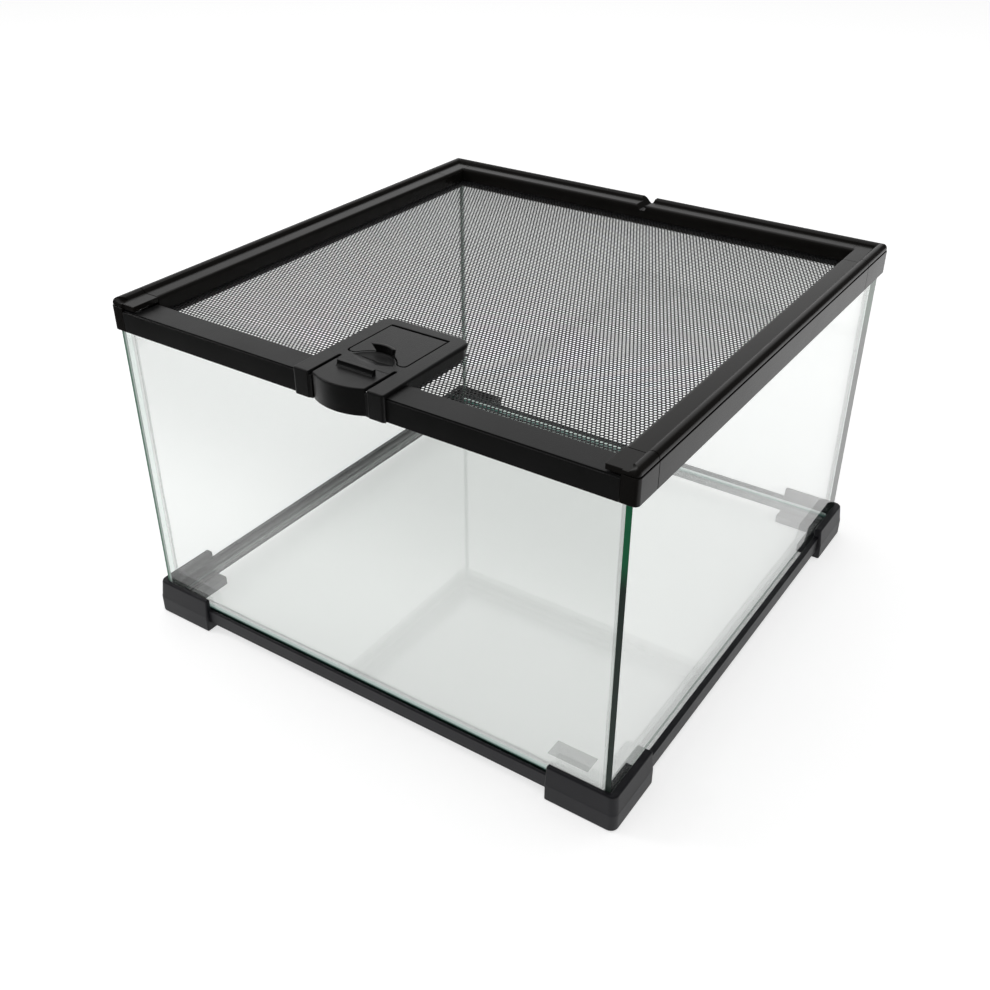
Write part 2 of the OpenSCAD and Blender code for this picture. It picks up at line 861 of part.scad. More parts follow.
module latch_housing() {
    floor_z = mesh_z + mesh_t;
    under = house_top - house_t;
    lug_x = slot_x + lug_w;
    color(lid_colour) place() difference() {
        union() {
            // Top plate and the cheeks in front of the bar
            translate([0, 0, under]) linear_extrude(house_t) house_outline(0);
            both_sides() cheek();
            // Side and back walls, standing on the mesh
            translate([0, 0, floor_z]) linear_extrude(under - floor_z + eps) difference() {
                intersection() {
                    house_outline(wall_in);
                    translate([-house_x, bar_back]) square([house_w, house_back - bar_back]);
                }
                house_outline(wall_in + house_t);
            }
            // Lugs for the latch's pin
            both_sides() box([-lug_x, pivot_y - 3, shelf_top + 0.3], [-slot_x, pivot_y + 3, under + eps]);
            // Ledge that the hatch lies on, and the bosses of its pin
            box([-wall_x + house_t, dish_arc_y + dish_edge_r - 1, ledge_top - ledge_t],
                [wall_x - house_t, hinge_y - 2.2, ledge_top]);
            both_sides() box([-hatch_x - hatch_gap - hinge_boss_w, hinge_y - 2.2, ledge_top - ledge_t],
                [-hatch_x - hatch_gap, hinge_y + 2.2, under + eps]);
            // Cup under the finger dish
            translate([0, 0, house_top - dish_depth - cup_wall])
                linear_extrude(dish_depth + cup_wall - 1) dish_outline(cup_wall);
            // Screw bosses
            both_sides() for (p = screw_places)
                translate([p.x, p.y, floor_z]) cylinder(r = boss_r, h = under - floor_z + eps);
        }
        lever_slot();
        // Recess of the hatch, with room for its barrel
        translate([0, 0, ledge_top]) linear_extrude(far) hatch_outline(hatch_gap);
        box([-hatch_x - hatch_gap, hinge_y - 2.2, floor_z - 1],
            [hatch_x + hatch_gap, hinge_y + hatch_barrel_r + hatch_gap, far]);
        port_cut();
        // Hollow of the finger dish
        intersection() {
            translate([0, 0, house_top - dish_depth - 1]) linear_extrude(far) dish_outline(0);
            translate([0, dish_mid_y, house_top - dish_depth + dish_ball_r])
                rotate([90, 0, 0]) sphere(dish_ball_r, $fn = 128);
        }
        rod_x(pivot_r, 2 * lug_x + 1, pivot_y, pivot_z);
        rod_x(hatch_pin_r, hatch_w + 2 * (hatch_gap + hinge_boss_w), hinge_y, hinge_z);
        translate([0, 0, floor_z - 1]) both_sides() for (p = screw_places)
            translate([p.x, p.y, 0]) cylinder(r = screw_r, h = screw_len - clamp_t - mesh_t + 1 + fit);
    }
}

// The left cheek of the housing, down in front of the bar
module cheek() {
    r = 1.5;
    h = house_top - house_t - cheek_bottom + eps;
    translate([0, 0, cheek_bottom]) linear_extrude(h) {
        translate([-house_x, house_front + r]) square([house_x - slot_x, cheek_out - r]);
        translate([-house_x + r, house_front]) square([house_x - slot_x - r, cheek_out]);
        translate([-house_x + r, house_front + r]) intersection() {
            circle(r);
            translate([-r, -r]) square([2 * r, r + cheek_out - r]);
        }
    }
}

module clamp_plate() {
    x = wall_x - 1.8;
    r = 6;
    back = wall_back - 0.2;
    low = hatch_front - 3.2;
    color(lid_colour) place() difference() {
        translate([0, 0, clamp_bottom]) linear_extrude(clamp_t) {
            translate([-x, low]) square([2 * x, back - low - r]);
            translate([-x + r, low]) square([2 * (x - r), back - low]);
            for (side = [-1, 1])
                translate([side * (x - r), back - r]) circle(r);
        }
        port_cut();
        screw_holes(screw_r + 0.15);
        both_sides() for (p = screw_places) translate([p.x, p.y, clamp_bottom - eps])
            cylinder(r1 = screw_head_r + fit, r2 = screw_r + fit, h = screw_head_h + fit);
    }
}

module housing_screws() {
    color("silver") place() both_sides() for (p = screw_places) translate([p.x, p.y, clamp_bottom]) {
        cylinder(r1 = screw_head_r, r2 = screw_r, h = screw_head_h);
        cylinder(r = screw_r, h = screw_len);
    }
}

module latch_pin() {
    color("silver") place() rod_x(pivot_r, 2 * (slot_x + lug_w), pivot_y, pivot_z);
}

module hatch_pin() {
    color("silver") place()
        rod_x(hatch_pin_r, hatch_w + 2 * (hatch_gap + hinge_boss_w) - fit, hinge_y, hinge_z);
}

// A coil of rings joined by their own lead: points of one swept wire
module latch_spring() {
    sides = 8;
    steps = spring_turns * 16;
    lead = spring_h - spring_wire - 2 * eps;
    function ring(i) = let (
        turn = 360 * i / 16,
        z = spring_base + spring_wire / 2 + eps + lead * i / steps
    ) [for (k = [0 : sides - 1]) let (a = 360 * k / sides, d = spring_r + spring_wire / 2 * cos(a))
        [d * cos(turn), spring_y + d * sin(turn), z + spring_wire / 2 * sin(a)]];
    points = [for (i = [0 : steps]) each ring(i)];
    walls = [for (i = [0 : steps - 1], k = [0 : sides - 1]) let (n = (k + 1) % sides)
        [i * sides + k, (i + 1) * sides + k, (i + 1) * sides + n, i * sides + n]];
    ends = [[for (k = [0 : sides - 1]) k], [for (k = [sides - 1 : -1 : 0]) steps * sides + k]];
    color("silver") place() polyhedron(points, concat(walls, ends));
}

// --------------------------------------------------------------- latch lever

module latch_lever() {
    under = house_top - tongue_t;
    face_in = fascia_out - fascia_end_out;
    face_r = (lever_x * lever_x + face_in * face_in) / (2 * face_in);
    face_y = front - fascia_out + face_r;
    back_y = front + 0.5;
    wall = 1.8;
    grip_y = pivot_y - 3.8;
    color(lid_colour) place() difference() {
        union() {
            // Fascia, with the tongue behind it
            translate([0, 0, cheek_bottom]) linear_extrude(house_top - cheek_bottom) intersection() {
                translate([0, face_y]) circle(face_r, $fn = 128);
                translate([-lever_x, front - far]) square([lever_w, far + 0.5]);
            }
            box([-lever_x, back_y - eps, under], [lever_x, pivot_y, house_top]);
            // Barrel round the pin
            intersection() {
                rod_x(barrel_r, lever_w, pivot_y, pivot_z);
                box([-far, -far, 0], [far, far, house_top]);
            }
            // Grip rib and the tooth
            box([-grip_w / 2, grip_y - 1, under], [grip_w / 2, grip_y + 1, house_top + grip_h]);
            box([-tooth_w / 2, tooth_y - tooth_t, sill_top + slide_gap], [tooth_w / 2, tooth_y, under + eps]);
        }
        // Hollow behind the fascia
        translate([0, 0, cheek_bottom - 1]) linear_extrude(under - cheek_bottom + 1) intersection() {
            translate([0, face_y]) circle(face_r - wall, $fn = 128);
            translate([-lever_x + wall, front - far]) square([lever_w - 2 * wall, far + 1]);
        }
        rod_x(pivot_r + pin_gap, lever_w + 1, pivot_y, pivot_z);
    }
}

// --------------------------------------------------------------- feed hatch

module feed_hatch() {
    under = house_top - house_t;
    tab_t = 1.5;
    lip = 1.9;
    lip_h = 1.4;
    module tab_arc(r_in, r_out, z, h) {
        translate([0, dish_arc_y, z]) linear_extrude(h) intersection() {
            difference() {
                circle(r_out, $fn = 128);
                circle(r_in, $fn = 128);
            }
            translate([-tab_w / 2, 0]) square([tab_w, far]);
        }
    }
    color(lid_colour) place() difference() {
        union() {
            translate([0, 0, under]) linear_extrude(house_t) hatch_outline(0);
            rod_x(hatch_barrel_r, hatch_w, hinge_y, hinge_z);
            tab_arc(dish_edge_r, dish_edge_r + tab_t, under, house_t + tab_h);
            tab_arc(dish_edge_r - lip, dish_edge_r + tab_t, house_top + tab_h - lip_h, lip_h);
        }
        rod_x(hatch_pin_r + pin_gap, hatch_w + 1, hinge_y, hinge_z);
    }
}

front_glass();
back_glass();
left_glass();
right_glass();
floor_glass();
corner_seal_front_left();
corner_seal_front_right();
corner_seal_back_left();
corner_seal_back_right();
floor_seal();
base_strip_front();
base_strip_back();
base_strip_left();
base_strip_right();
foot_front_left();
foot_front_right();
foot_back_left();
foot_back_right();
rail_left();
rail_right();
rail_back();
top_corner_front_left();
top_corner_front_right();
top_corner_back_left();
top_corner_back_right();
front_sill();
latch_strike();
lid_bar();
mesh_panel();
mesh_runner_left();
mesh_runner_right();
mesh_back_trim();
latch_housing();
clamp_plate();
housing_screws();
latch_pin();
latch_spring();
hatch_pin();
latch_lever();
feed_hatch();
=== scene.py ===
# %% [markdown]
# # Dressing a glass terrarium
#
# The CAD model of a small terrarium comes in as a fixed frame: five glass
# panes, a black plastic base and top rim, and a mesh lid that slides out, with
# a latch lever and a feeding hatch. This lesson gives each part the shape and
# finish that a buyer sees. Most shapes here are closed outlines that are
# stacked or carried along a line, worked out with numpy as whole arrays.
#
# Sizes are in millimetres until a mesh is made, because plastic parts and
# glass are drawn in millimetres. Blender itself works in metres.

# %% Load the frame
import math

import bmesh
import bpy
import numpy as np
from mathutils import Matrix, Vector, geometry


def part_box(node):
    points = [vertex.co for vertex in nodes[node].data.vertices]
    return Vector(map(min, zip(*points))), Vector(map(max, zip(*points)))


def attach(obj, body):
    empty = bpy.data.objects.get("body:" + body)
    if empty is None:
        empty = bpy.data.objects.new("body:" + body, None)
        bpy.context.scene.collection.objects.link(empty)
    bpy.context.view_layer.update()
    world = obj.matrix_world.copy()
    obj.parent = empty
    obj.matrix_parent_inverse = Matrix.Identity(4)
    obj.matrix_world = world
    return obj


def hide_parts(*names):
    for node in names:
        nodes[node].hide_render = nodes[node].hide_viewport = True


MM = 0.001
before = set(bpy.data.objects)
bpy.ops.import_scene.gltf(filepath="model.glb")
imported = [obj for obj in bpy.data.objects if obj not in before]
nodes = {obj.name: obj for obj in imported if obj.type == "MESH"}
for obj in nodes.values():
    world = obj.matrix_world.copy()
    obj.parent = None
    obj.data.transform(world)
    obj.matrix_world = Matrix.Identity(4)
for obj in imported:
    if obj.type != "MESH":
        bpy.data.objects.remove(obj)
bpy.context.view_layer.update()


def span(node):
    """The lowest and the highest corner of a CAD node, in millimetres."""
    low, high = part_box(node)
    return np.array(low) / MM, np.array(high) / MM

# %% [markdown]
# ## The camera
#
# The view is a three-quarter one from the front right and above, as a product
# picture has it. The camera could be aimed at an empty by a constraint, but
# three angles say more: round the object, above the horizon, and a small roll.
# Its axes follow from them as the columns of a rotation matrix.

# %% Camera
AZIMUTH, ELEVATION, ROLL = np.radians([33.28, 32.26, 0.43])
CAMERA_PLACE = (0.3121, -0.4885, 0.4238)
LENS = 41.61
SHIFT = (-0.0117, -0.0051)
NEAREST = 0.01


def unit(vectors):
    """Vectors scaled to a length of one."""
    return vectors / np.linalg.norm(vectors, axis=-1, keepdims=True)


def upright(back):
    """The columns right, up and back of something that looks against back, with its right side level."""
    right = unit(np.cross([0, 0, 1], back))
    return np.stack([right, np.cross(back, right), back], 1)


def stand(name, data, place, axes):
    """An object for a camera or a lamp, at a place and with its three axes as columns."""
    made = bpy.data.objects.new(name, data)
    bpy.context.scene.collection.objects.link(made)
    pose = np.eye(4)
    pose[:3, :3], pose[:3, 3] = axes, place
    made.matrix_world = Matrix(pose.tolist())
    return made


level = math.cos(ELEVATION)
back = np.array([math.sin(AZIMUTH) * level, -math.cos(AZIMUTH) * level, math.sin(ELEVATION)])
roll = np.array([[math.cos(ROLL), -math.sin(ROLL), 0], [math.sin(ROLL), math.cos(ROLL), 0], [0, 0, 1]])
camera = stand("camera", bpy.data.cameras.new("camera"), CAMERA_PLACE, upright(back) @ roll)
camera.data.lens = LENS
camera.data.shift_x, camera.data.shift_y = SHIFT
camera.data.clip_start = NEAREST
bpy.context.scene.camera = camera
print("camera:", CAMERA_PLACE, "lens", LENS)

# %% [markdown]
# ## Building shaders
#
# A shader is a tree of nodes, and making one takes the same few steps each
# time. Two helpers do them: one fills a node's inputs, the other makes a node
# first. A constant goes on the socket itself, because a model file keeps it
# there, and only what changes over the surface is linked.

# %% Node helpers
def fill(tree, node, inputs):
    """Fills a node's inputs: another node's output is linked, and a constant is set on the socket."""
    for name, value in inputs.items():
        if isinstance(value, bpy.types.NodeSocket):
            tree.links.new(value, node.inputs[name])
        else:
            node.inputs[name].default_value = value


def shader(tree, kind, inputs, **settings):
    """A new shader node with its settings and its inputs."""
    made = tree.nodes.new("ShaderNode" + kind)
    for name, value in settings.items():
        setattr(made, name, value)
    fill(tree, made, inputs)
    return made


def math_node(tree, operation, first, second):
    """One Math node on two sockets or numbers."""
    return shader(tree, "Math", {0: first, 1: second}, operation=operation).outputs[0]


def object_place(tree):
    """The Object coordinates of the point that is shaded."""
    return tree.nodes.new("ShaderNodeTexCoord").outputs["Object"]


def ramp(tree, axis, start, end, low, high):
    """A value that runs smoothly from low to high as one Object coordinate runs from start to end."""
    place = shader(tree, "SeparateXYZ", {0: object_place(tree)}).outputs[axis]
    inputs = {"From Min": start, "From Max": end, "To Min": low, "To Max": high, "Value": place}
    return shader(tree, "MapRange", inputs, interpolation_type="SMOOTHSTEP").outputs["Result"]

# %% Rays that are seen
def ray(tree, kind):
    """1 for rays of one kind, such as Camera or Glossy, and 0 for the others."""
    return tree.nodes.new("ShaderNodeLightPath").outputs[f"Is {kind} Ray"]


def seen_rays(tree, gloss_share):
    """1 for rays from the camera or through glass, gloss_share for rays from a gloss, and 0 for the rest."""
    gloss = math_node(tree, "MULTIPLY", ray(tree, "Glossy"), gloss_share)
    plain = math_node(tree, "MAXIMUM", ray(tree, "Camera"), ray(tree, "Transmission"))
    return math_node(tree, "MAXIMUM", plain, gloss)

# %% [markdown]
# ## A pale studio
#
# The object stands on white paper. A large lamp overhead gives most of the
# light, a small one at the left draws the shadows, and a weak one behind, which
# no gloss reflects, lifts the far side. The world adds an even glow. More light
# would make the paper white, but it would bleach the object too. So the paper
# and the world only look brighter to rays from the camera or through glass,
# which Light Path tells apart.
#
# Gloss shows the room. Rays from a gloss see a grey world with a bright wall at
# the back left, and paper that turns dark far in front and far to the left.
# Each of these is a product of ramps along the axes.

# %% World
FILL_LEVEL = 0.35
WALL_GLOSS = 0.85
WALL_SIDE = (-0.25, 0.20, WALL_GLOSS, 0.06)
WALL_BACK = (0.15, 0.55, 0.10, 1.0)
WALL_TOP = (0.60, 0.90, 1.0, 0.25)
WHITE = (1, 1, 1, 1)

scene = bpy.context.scene
scene.view_settings.view_transform = "Standard"
world = bpy.data.worlds.new("studio")
scene.world = world
world.use_nodes = True
tree = world.node_tree
side_and_back = math_node(tree, "MULTIPLY", ramp(tree, "X", *WALL_SIDE), ramp(tree, "Y", *WALL_BACK))
wall = math_node(tree, "MULTIPLY", side_and_back, ramp(tree, "Z", *WALL_TOP))
from_gloss = math_node(tree, "MULTIPLY", ray(tree, "Glossy"), math_node(tree, "SUBTRACT", wall, FILL_LEVEL))
lit_level = math_node(tree, "ADD", from_gloss, FILL_LEVEL)
strength = math_node(tree, "MAXIMUM", seen_rays(tree, 0.0), lit_level)
fill(tree, tree.nodes["Background"], {"Color": WHITE, "Strength": strength})
print("world nodes:", len(tree.nodes))

# %% Lamps
LAMP_TARGET = (0, 0, 0.1)


def lamp(name, place, size, power):
    """A square area lamp at place that faces the target."""
    light = bpy.data.lights.new(name, "AREA")
    light.size = size
    light.energy = power
    print(name, "watts:", power)
    return stand(name, light, place, upright(unit(np.subtract(place, LAMP_TARGET))))


lamp("key_lamp", (-1.45, -0.64, 1.1), 0.3, 4)
lamp("top_lamp", (-0.3, 0.2, 2.2), 2.0, 12)
lamp("right_lamp", (1.1, 1.45, 1.05), 0.8, 1.5).visible_glossy = False

# %% Paper
PAPER_HALF = 6.0
PAPER_DROP = 0.0002
PAPER_COLOUR, PAPER_GLOW, PAPER_DARK = 0.8, 0.62, 0.05
DARK_FRONT = (-0.38, -0.22)
DARK_LEFT = (-0.70, -0.45)


def new_material(name, bare=False):
    """A material and its node tree, with or without the Principled shader."""
    material = bpy.data.materials.new(name)
    material.use_nodes = True
    if bare:
        material.node_tree.nodes.remove(material.node_tree.nodes["Principled BSDF"])
    return material, material.node_tree


def show_mix(tree, share, first, second):
    """Shows a mix of two shaders, in which the second one has the share."""
    mix = shader(tree, "MixShader", {0: share, 1: first.outputs[0], 2: second.outputs[0]})
    fill(tree, tree.nodes["Material Output"], {"Surface": mix.outputs[0]})


def matt(tree, level):
    """A matt grey shader."""
    return shader(tree, "BsdfDiffuse", {"Color": (level, level, level, 1)})


def white_paper():
    """Matt white paper that keeps shadows, and looks a little brighter to the rays that are seen."""
    material, tree = new_material("white_paper", bare=True)
    front, left = ramp(tree, "Y", *DARK_FRONT, 0.0, 1.0), ramp(tree, "X", *DARK_LEFT, 0.0, 1.0)
    near = math_node(tree, "MULTIPLY", front, left)
    glow = {"Color": (PAPER_GLOW, PAPER_GLOW, PAPER_GLOW, 1), "Strength": seen_rays(tree, near)}
    light = shader(tree, "Emission", glow)
    both = shader(tree, "AddShader", {0: matt(tree, PAPER_COLOUR).outputs[0], 1: light.outputs[0]})
    far = math_node(tree, "MULTIPLY", ray(tree, "Glossy"), math_node(tree, "SUBTRACT", 1.0, near))
    show_mix(tree, far, both, matt(tree, PAPER_DARK))
    return material


paper_mesh = bpy.data.meshes.new("paper")
corners = PAPER_HALF * np.array([[-1, -1, 0], [1, -1, 0], [1, 1, 0], [-1, 1, 0]]) - [0, 0, PAPER_DROP]
paper_mesh.from_pydata(corners.tolist(), [], [(0, 1, 2, 3)])
paper_mesh.materials.append(white_paper())
paper = bpy.data.objects.new("paper", paper_mesh)
scene.collection.objects.link(paper)
print("paper:", 2 * PAPER_HALF, "m wide")

# %% [markdown]
# ## Finishes
#
# Five finishes here are black, and still look different: the rim is satin, the
# base is matt with a fine grain, the lid's housing is a little rougher than the
# rim, its bar is deeper, and the mesh has a powder coat. A scanned picture
# could show the grain, but it would need unwrapping. One Principled shader and
# two noises do it at any size: a fine noise is the grain, as a bump, and a
# broad one shifts tone and roughness, so that no face reflects quite evenly.

# %% Moulded plastic
MIDDLE = (0.3, 0.7)
BROAD_MM = 30
ROUGHNESS_PLAY = 0.04


def noise(tree, size_mm, detail=2.0):
    """Noise on Object coordinates whose bumps are about size_mm wide."""
    inputs = {"Scale": 1 / (size_mm * MM), "Detail": detail, "Vector": object_place(tree)}
    return shader(tree, "TexNoise", inputs).outputs["Fac"]


def spread(tree, source, low, high):
    """A value that runs from low to high as source runs over the middle of its range."""
    inputs = {"From Min": MIDDLE[0], "From Max": MIDDLE[1], "To Min": low, "To Max": high, "Value": source}
    return shader(tree, "MapRange", inputs).outputs["Result"]


def tone(tree, source, dark, light):
    """A colour between dark and light, by source."""
    inputs = {"A": (*dark, 1), "B": (*light, 1), "Factor": source}
    return shader(tree, "Mix", inputs, data_type="RGBA").outputs["Result"]


def skin(name, make_inputs):
    """A material with one Principled shader, whose inputs are what make_inputs gives for its tree."""
    material, tree = new_material(name)
    fill(tree, tree.nodes["Principled BSDF"], make_inputs(tree))
    return material


def moulded(name, dark, light, roughness, grain_mm, grain_depth, shine):
    """Moulded or coated black: a broad noise tones colour and roughness, and a fine one is the grain."""
    def inputs(tree):
        broad = noise(tree, BROAD_MM, 3)
        grain = {"Strength": grain_depth, "Distance": grain_mm * MM / 2, "Height": noise(tree, grain_mm)}
        return {
            "Base Color": tone(tree, broad, dark, light),
            "Roughness": spread(tree, broad, roughness - ROUGHNESS_PLAY, roughness + ROUGHNESS_PLAY),
            "Specular IOR Level": shine,
            "Normal": shader(tree, "Bump", grain).outputs[0],
        }

    return skin(name, inputs)


satin_rim = moulded("satin_rim", (0.010, 0.009, 0.008), (0.014, 0.013, 0.012), 0.20, 0.8, 0.08, 0.17)
satin_lid = moulded("satin_lid", (0.007, 0.007, 0.007), (0.011, 0.011, 0.011), 0.36, 0.55, 0.30, 0.34)
matt_base = moulded("matt_base", (0.013, 0.013, 0.016), (0.019, 0.019, 0.023), 0.46, 0.5, 0.35, 0.28)
bar_black = moulded("bar_black", (0.007, 0.007, 0.007), (0.010, 0.010, 0.010), 0.34, 0.55, 0.25, 0.24)
mesh_coat = moulded("mesh_coat", (0.010, 0.010, 0.011), (0.014, 0.014, 0.015), 0.50, 0.3, 0.20, 0.35)
print("black finishes:", len(bpy.data.materials) - 1)

# %% [markdown]
# Steel pins, screws and the spring are bright. Drawing marks would be too fine
# to see on a 2 mm pin, so a fine noise that varies the roughness is enough.

# %% Steel
MARKS_MM = 0.4
MARKS_PLAY = 0.08


def steel(name, colour, roughness):
    """Bright steel whose roughness varies finely."""
    return skin(name, lambda tree: {
        "Base Color": (*colour, 1),
        "Metallic": 1.0,
        "Roughness": spread(tree, noise(tree, MARKS_MM, 4), roughness - MARKS_PLAY, roughness + MARKS_PLAY),
    })


pin_steel = steel("pin_steel", (0.66, 0.66, 0.67), 0.25)
screw_zinc = steel("screw_zinc", (0.62, 0.62, 0.63), 0.32)
spring_wire = steel("spring_wire", (0.55, 0.55, 0.57), 0.30)
print("steels:", pin_steel.name, screw_zinc.name, spring_wire.name)

# %% [markdown]
# Window glass that is 3 mm thick hardly bends what is seen through it. A true
# glass shader would bend it and give noisy shadows. So the broad faces are a
# tinted Transparent shader, with a mirror mixed in by Schlick's rule: a few
# per cent face on, and nearly all of it at a grazing angle.
#
# Light runs along a sheet to its cut edges, so they show the glass's own
# green, and the light and shade that reach them are painted into that colour.
# The right pane's edge is a deep green near the top and a painted shade below,
# the left pane's is a pale green, a painted highlight of light from behind, and
# the floor's is pale above and dark below as painted light and shade, and it
# glows a little as painted light. The front and back panes' edges stay clear.
# Each solid edge colour is a ramp along one axis.

# %% Glass
EDGE_MIRROR = 0.1
POLISH_MM, POLISH = 5, (0.12, 0.28)
BEDDING_MM = 8


def clear_pane(name, tint, face_on=0.06):
    """See-through glass: tint is what each face lets through, and the mirror's share follows Schlick's rule.

    The share is face_on plus the rest times the fifth power of how far the face looks away.
    """
    material, tree = new_material(name, bare=True)
    away = shader(tree, "LayerWeight", {"Blend": 0.5}).outputs["Facing"]
    rest = math_node(tree, "MULTIPLY", math_node(tree, "POWER", away, 5.0), 1 - face_on)
    through = shader(tree, "BsdfTransparent", {"Color": (*tint, 1)})
    mirror = shader(tree, "BsdfGlossy", {"Color": WHITE, "Roughness": 0.0})
    show_mix(tree, math_node(tree, "ADD", rest, face_on), through, mirror)
    return material


def solid_edge(name, low, high, run=None, glow=0.0):
    """A solid colour from low to high with hardly any mirror, whose polish varies a little.

    A run of (axis, start, end), in mm, says where the colour changes, and a noise does without one.
    On the panes' edges the run paints light and shade into the colour, and glow is painted light.
    """
    def inputs(tree):
        if run:
            axis, start, end = run
            share = ramp(tree, axis, start * MM, end * MM, 0.0, 1.0)
        else:
            share = noise(tree, BEDDING_MM)
        colour = tone(tree, share, low, high)
        light = {"Emission Color": colour, "Emission Strength": glow} if glow else {}
        rough = spread(tree, noise(tree, POLISH_MM), *POLISH)
        return {"Base Color": colour, "Roughness": rough, "Specular IOR Level": EDGE_MIRROR, **light}

    return skin(name, inputs)


clear_glass = clear_pane("clear_glass", (0.968, 0.974, 0.970))
# The floor pane lets a little less through than the upright panes: partly the glass's tint, partly a painted
# shade for the shadow on the paper under the tank.
floor_clear_painted_shade = clear_pane("floor_clear_painted_shade", (0.962, 0.972, 0.964), 0.10)
pale_edge = clear_pane("pale_edge", (0.88, 0.93, 0.905), 0.02)
# The right pane's edge: the glass's green, bright at the top, with a painted shade that turns it near black
# towards the bottom.
green_edge_painted_light = solid_edge("green_edge_painted_light", (0.040, 0.056, 0.048), (0.026, 0.190, 0.085), ("Z", 136, 154))
# The left pane's edge: green at its outer face and pale further in, a painted highlight of light from behind.
painted_backlit_edge = solid_edge("painted_backlit_edge", (0.21, 0.36, 0.28), (0.80, 0.92, 0.86), ("X", -146.2, -145.4))
# The floor pane's edge: pale above and dark teal below, painted light and shade, and its emission is a
# painted glow.
floor_edge_painted_glow = solid_edge("floor_edge_painted_glow", (0.08, 0.20, 0.17), (0.72, 0.84, 0.80), ("Z", 11.8, 13.6), 0.45)
bedding = solid_edge("bedding", (0.016, 0.034, 0.030), (0.028, 0.052, 0.046))
print("glass finishes made, from", clear_glass.name, "to", bedding.name)

# %% [markdown]
# Silicone is milky. A thin seam hides only a little of what lies behind it, and
# its soft gloss shows it best, so it is a glossy solid with a low alpha. The
# label's paper is thin and matt, and is made in the same way.

# %% Silicone and label
CLOUD_MM, CLOUD_DARK = 12, 0.9


def milky(name, colour, cover, roughness):
    """A milky solid: a cloudy colour with a plain alpha."""
    return skin(name, lambda tree: {
        "Base Color": tone(tree, noise(tree, CLOUD_MM, 3), colour, [c * CLOUD_DARK for c in colour]),
        "Roughness": roughness,
        "Alpha": cover,
    })


silicone = milky("silicone", (0.86, 0.89, 0.88), 0.10, 0.30)
floor_silicone = milky("floor_silicone", (0.86, 0.89, 0.88), 0.04, 0.40)
label_paper = milky("label_paper", (0.80, 0.82, 0.82), 0.18, 0.70)
print("materials:", len(bpy.data.materials))

# %% [markdown]
# ## Tools for shapes
#
# Nearly every part is a closed outline, seen along one axis, that is stacked in
# layers. Where a layer is drawn in a little, an edge is rounded. Cubes pushed
# into shape by hand would look the same, but their sizes would be hard to read
# and to change. The tools are few: an outline with rounded corners, the same
# outline drawn in by a distance, a stack of layers, and a cap on each end.

# %% Outlines
def rounded(corners, radii, steps=5):
    """A closed outline through the corners, each replaced by an arc of its radius that touches both sides.

    The arc's centre lies on the bisector, radius / sin(half the corner's angle) from the corner.
    """
    p = np.asarray(corners, float)
    r = np.broadcast_to(np.asarray(radii, float), len(p))[:, None, None]
    back, on = unit(np.roll(p, 1, 0) - p), unit(np.roll(p, -1, 0) - p)
    half = np.arccos(np.clip((back * on).sum(1), -1, 1))[:, None, None] / 2
    centre = p[:, None] + unit(back + on)[:, None] * r / np.sin(half)
    first = p[:, None] + back[:, None] * r / np.tan(half) - centre
    last = p[:, None] + on[:, None] * r / np.tan(half) - centre
    turn = np.pi - 2 * half
    s = np.linspace(0, 1, steps + 1)[None, :, None]
    return (centre + (np.sin((1 - s) * turn) * first + np.sin(s * turn) * last) / np.sin(turn)).reshape(-1, 2)


def inwards(outline):
    """At each point of a counter-clockwise outline, the way that keeps its sides parallel as it is drawn in.

    It is the sum of both sides' normals, over one plus their dot product.
    """
    side = unit(np.roll(outline, -1, 0) - outline)
    after = np.stack([-side[:, 1], side[:, 0]], 1)
    before = np.roll(after, 1, 0)
    return (before + after) / (1 + (before * after).sum(1))[:, None]


def layers(outline, levels):
    """The outline stacked at each (height, inset): an array of layers, points and x, y, z."""
    levels = np.asarray(levels, float)
    flat = outline[None] + inwards(outline)[None] * levels[:, 1, None, None]
    height = np.broadcast_to(levels[:, 0, None, None], (*flat.shape[:2], 1))
    return np.concatenate([flat, height], 2)


def round_levels(low, high, low_r, high_r, steps=4):
    """(height, inset) from low to high, with quarter rounds of low_r and high_r at the ends."""
    a = np.linspace(0, np.pi / 2, steps + 1)
    start = np.stack([low + low_r * (1 - np.cos(a)), low_r * (1 - np.sin(a))], 1)
    end = np.stack([high - high_r * (1 - np.sin(a)), high_r * (1 - np.cos(a))], 1)
    return np.concatenate([start, end])

# %% Solids
def shell(rows, low_cap=True, high_cap=True):
    """Points and faces of stacked closed rows.

    Each point meets its neighbour and the two above them in a four-sided face, and each end may have a cap.
    """
    count, around = rows.shape[:2]
    i = np.arange(count * around).reshape(count, around)
    low, high = i[:-1], i[1:]
    quads = np.stack([low, np.roll(low, -1, 1), np.roll(high, -1, 1), high], -1).reshape(-1, 4)
    caps = [i[0][::-1].tolist()] * low_cap + [i[-1].tolist()] * high_cap
    return rows.reshape(-1, 3), quads.tolist() + caps


def rectangle(low, high, r=0.1, steps=1):
    """A rectangle's outline with small corners."""
    (x0, y0), (x1, y1) = low, high
    return rounded([(x0, y0), (x1, y0), (x1, y1), (x0, y1)], r, steps)


def arc(centre, r, start, end, steps):
    """Points on a circle from a start to an end angle, in degrees from +x."""
    a = np.radians(np.linspace(start, end, steps + 1))
    return np.stack([centre[0] + r * np.cos(a), centre[1] + r * np.sin(a)], 1)


def circle(centre, r, count):
    """A closed outline of count points on a circle."""
    return arc(centre, r, 0, 360 - 360 / count, count - 1)


def turned(solid, origin, x_to, y_to, z_to):
    """A solid whose own x, y and z run along three directions from an origin."""
    points, faces = solid
    axes = np.array([x_to, y_to, z_to], float)
    placed = points @ axes + np.asarray(origin, float)
    return placed, faces if np.linalg.det(axes) > 0 else [face[::-1] for face in faces]


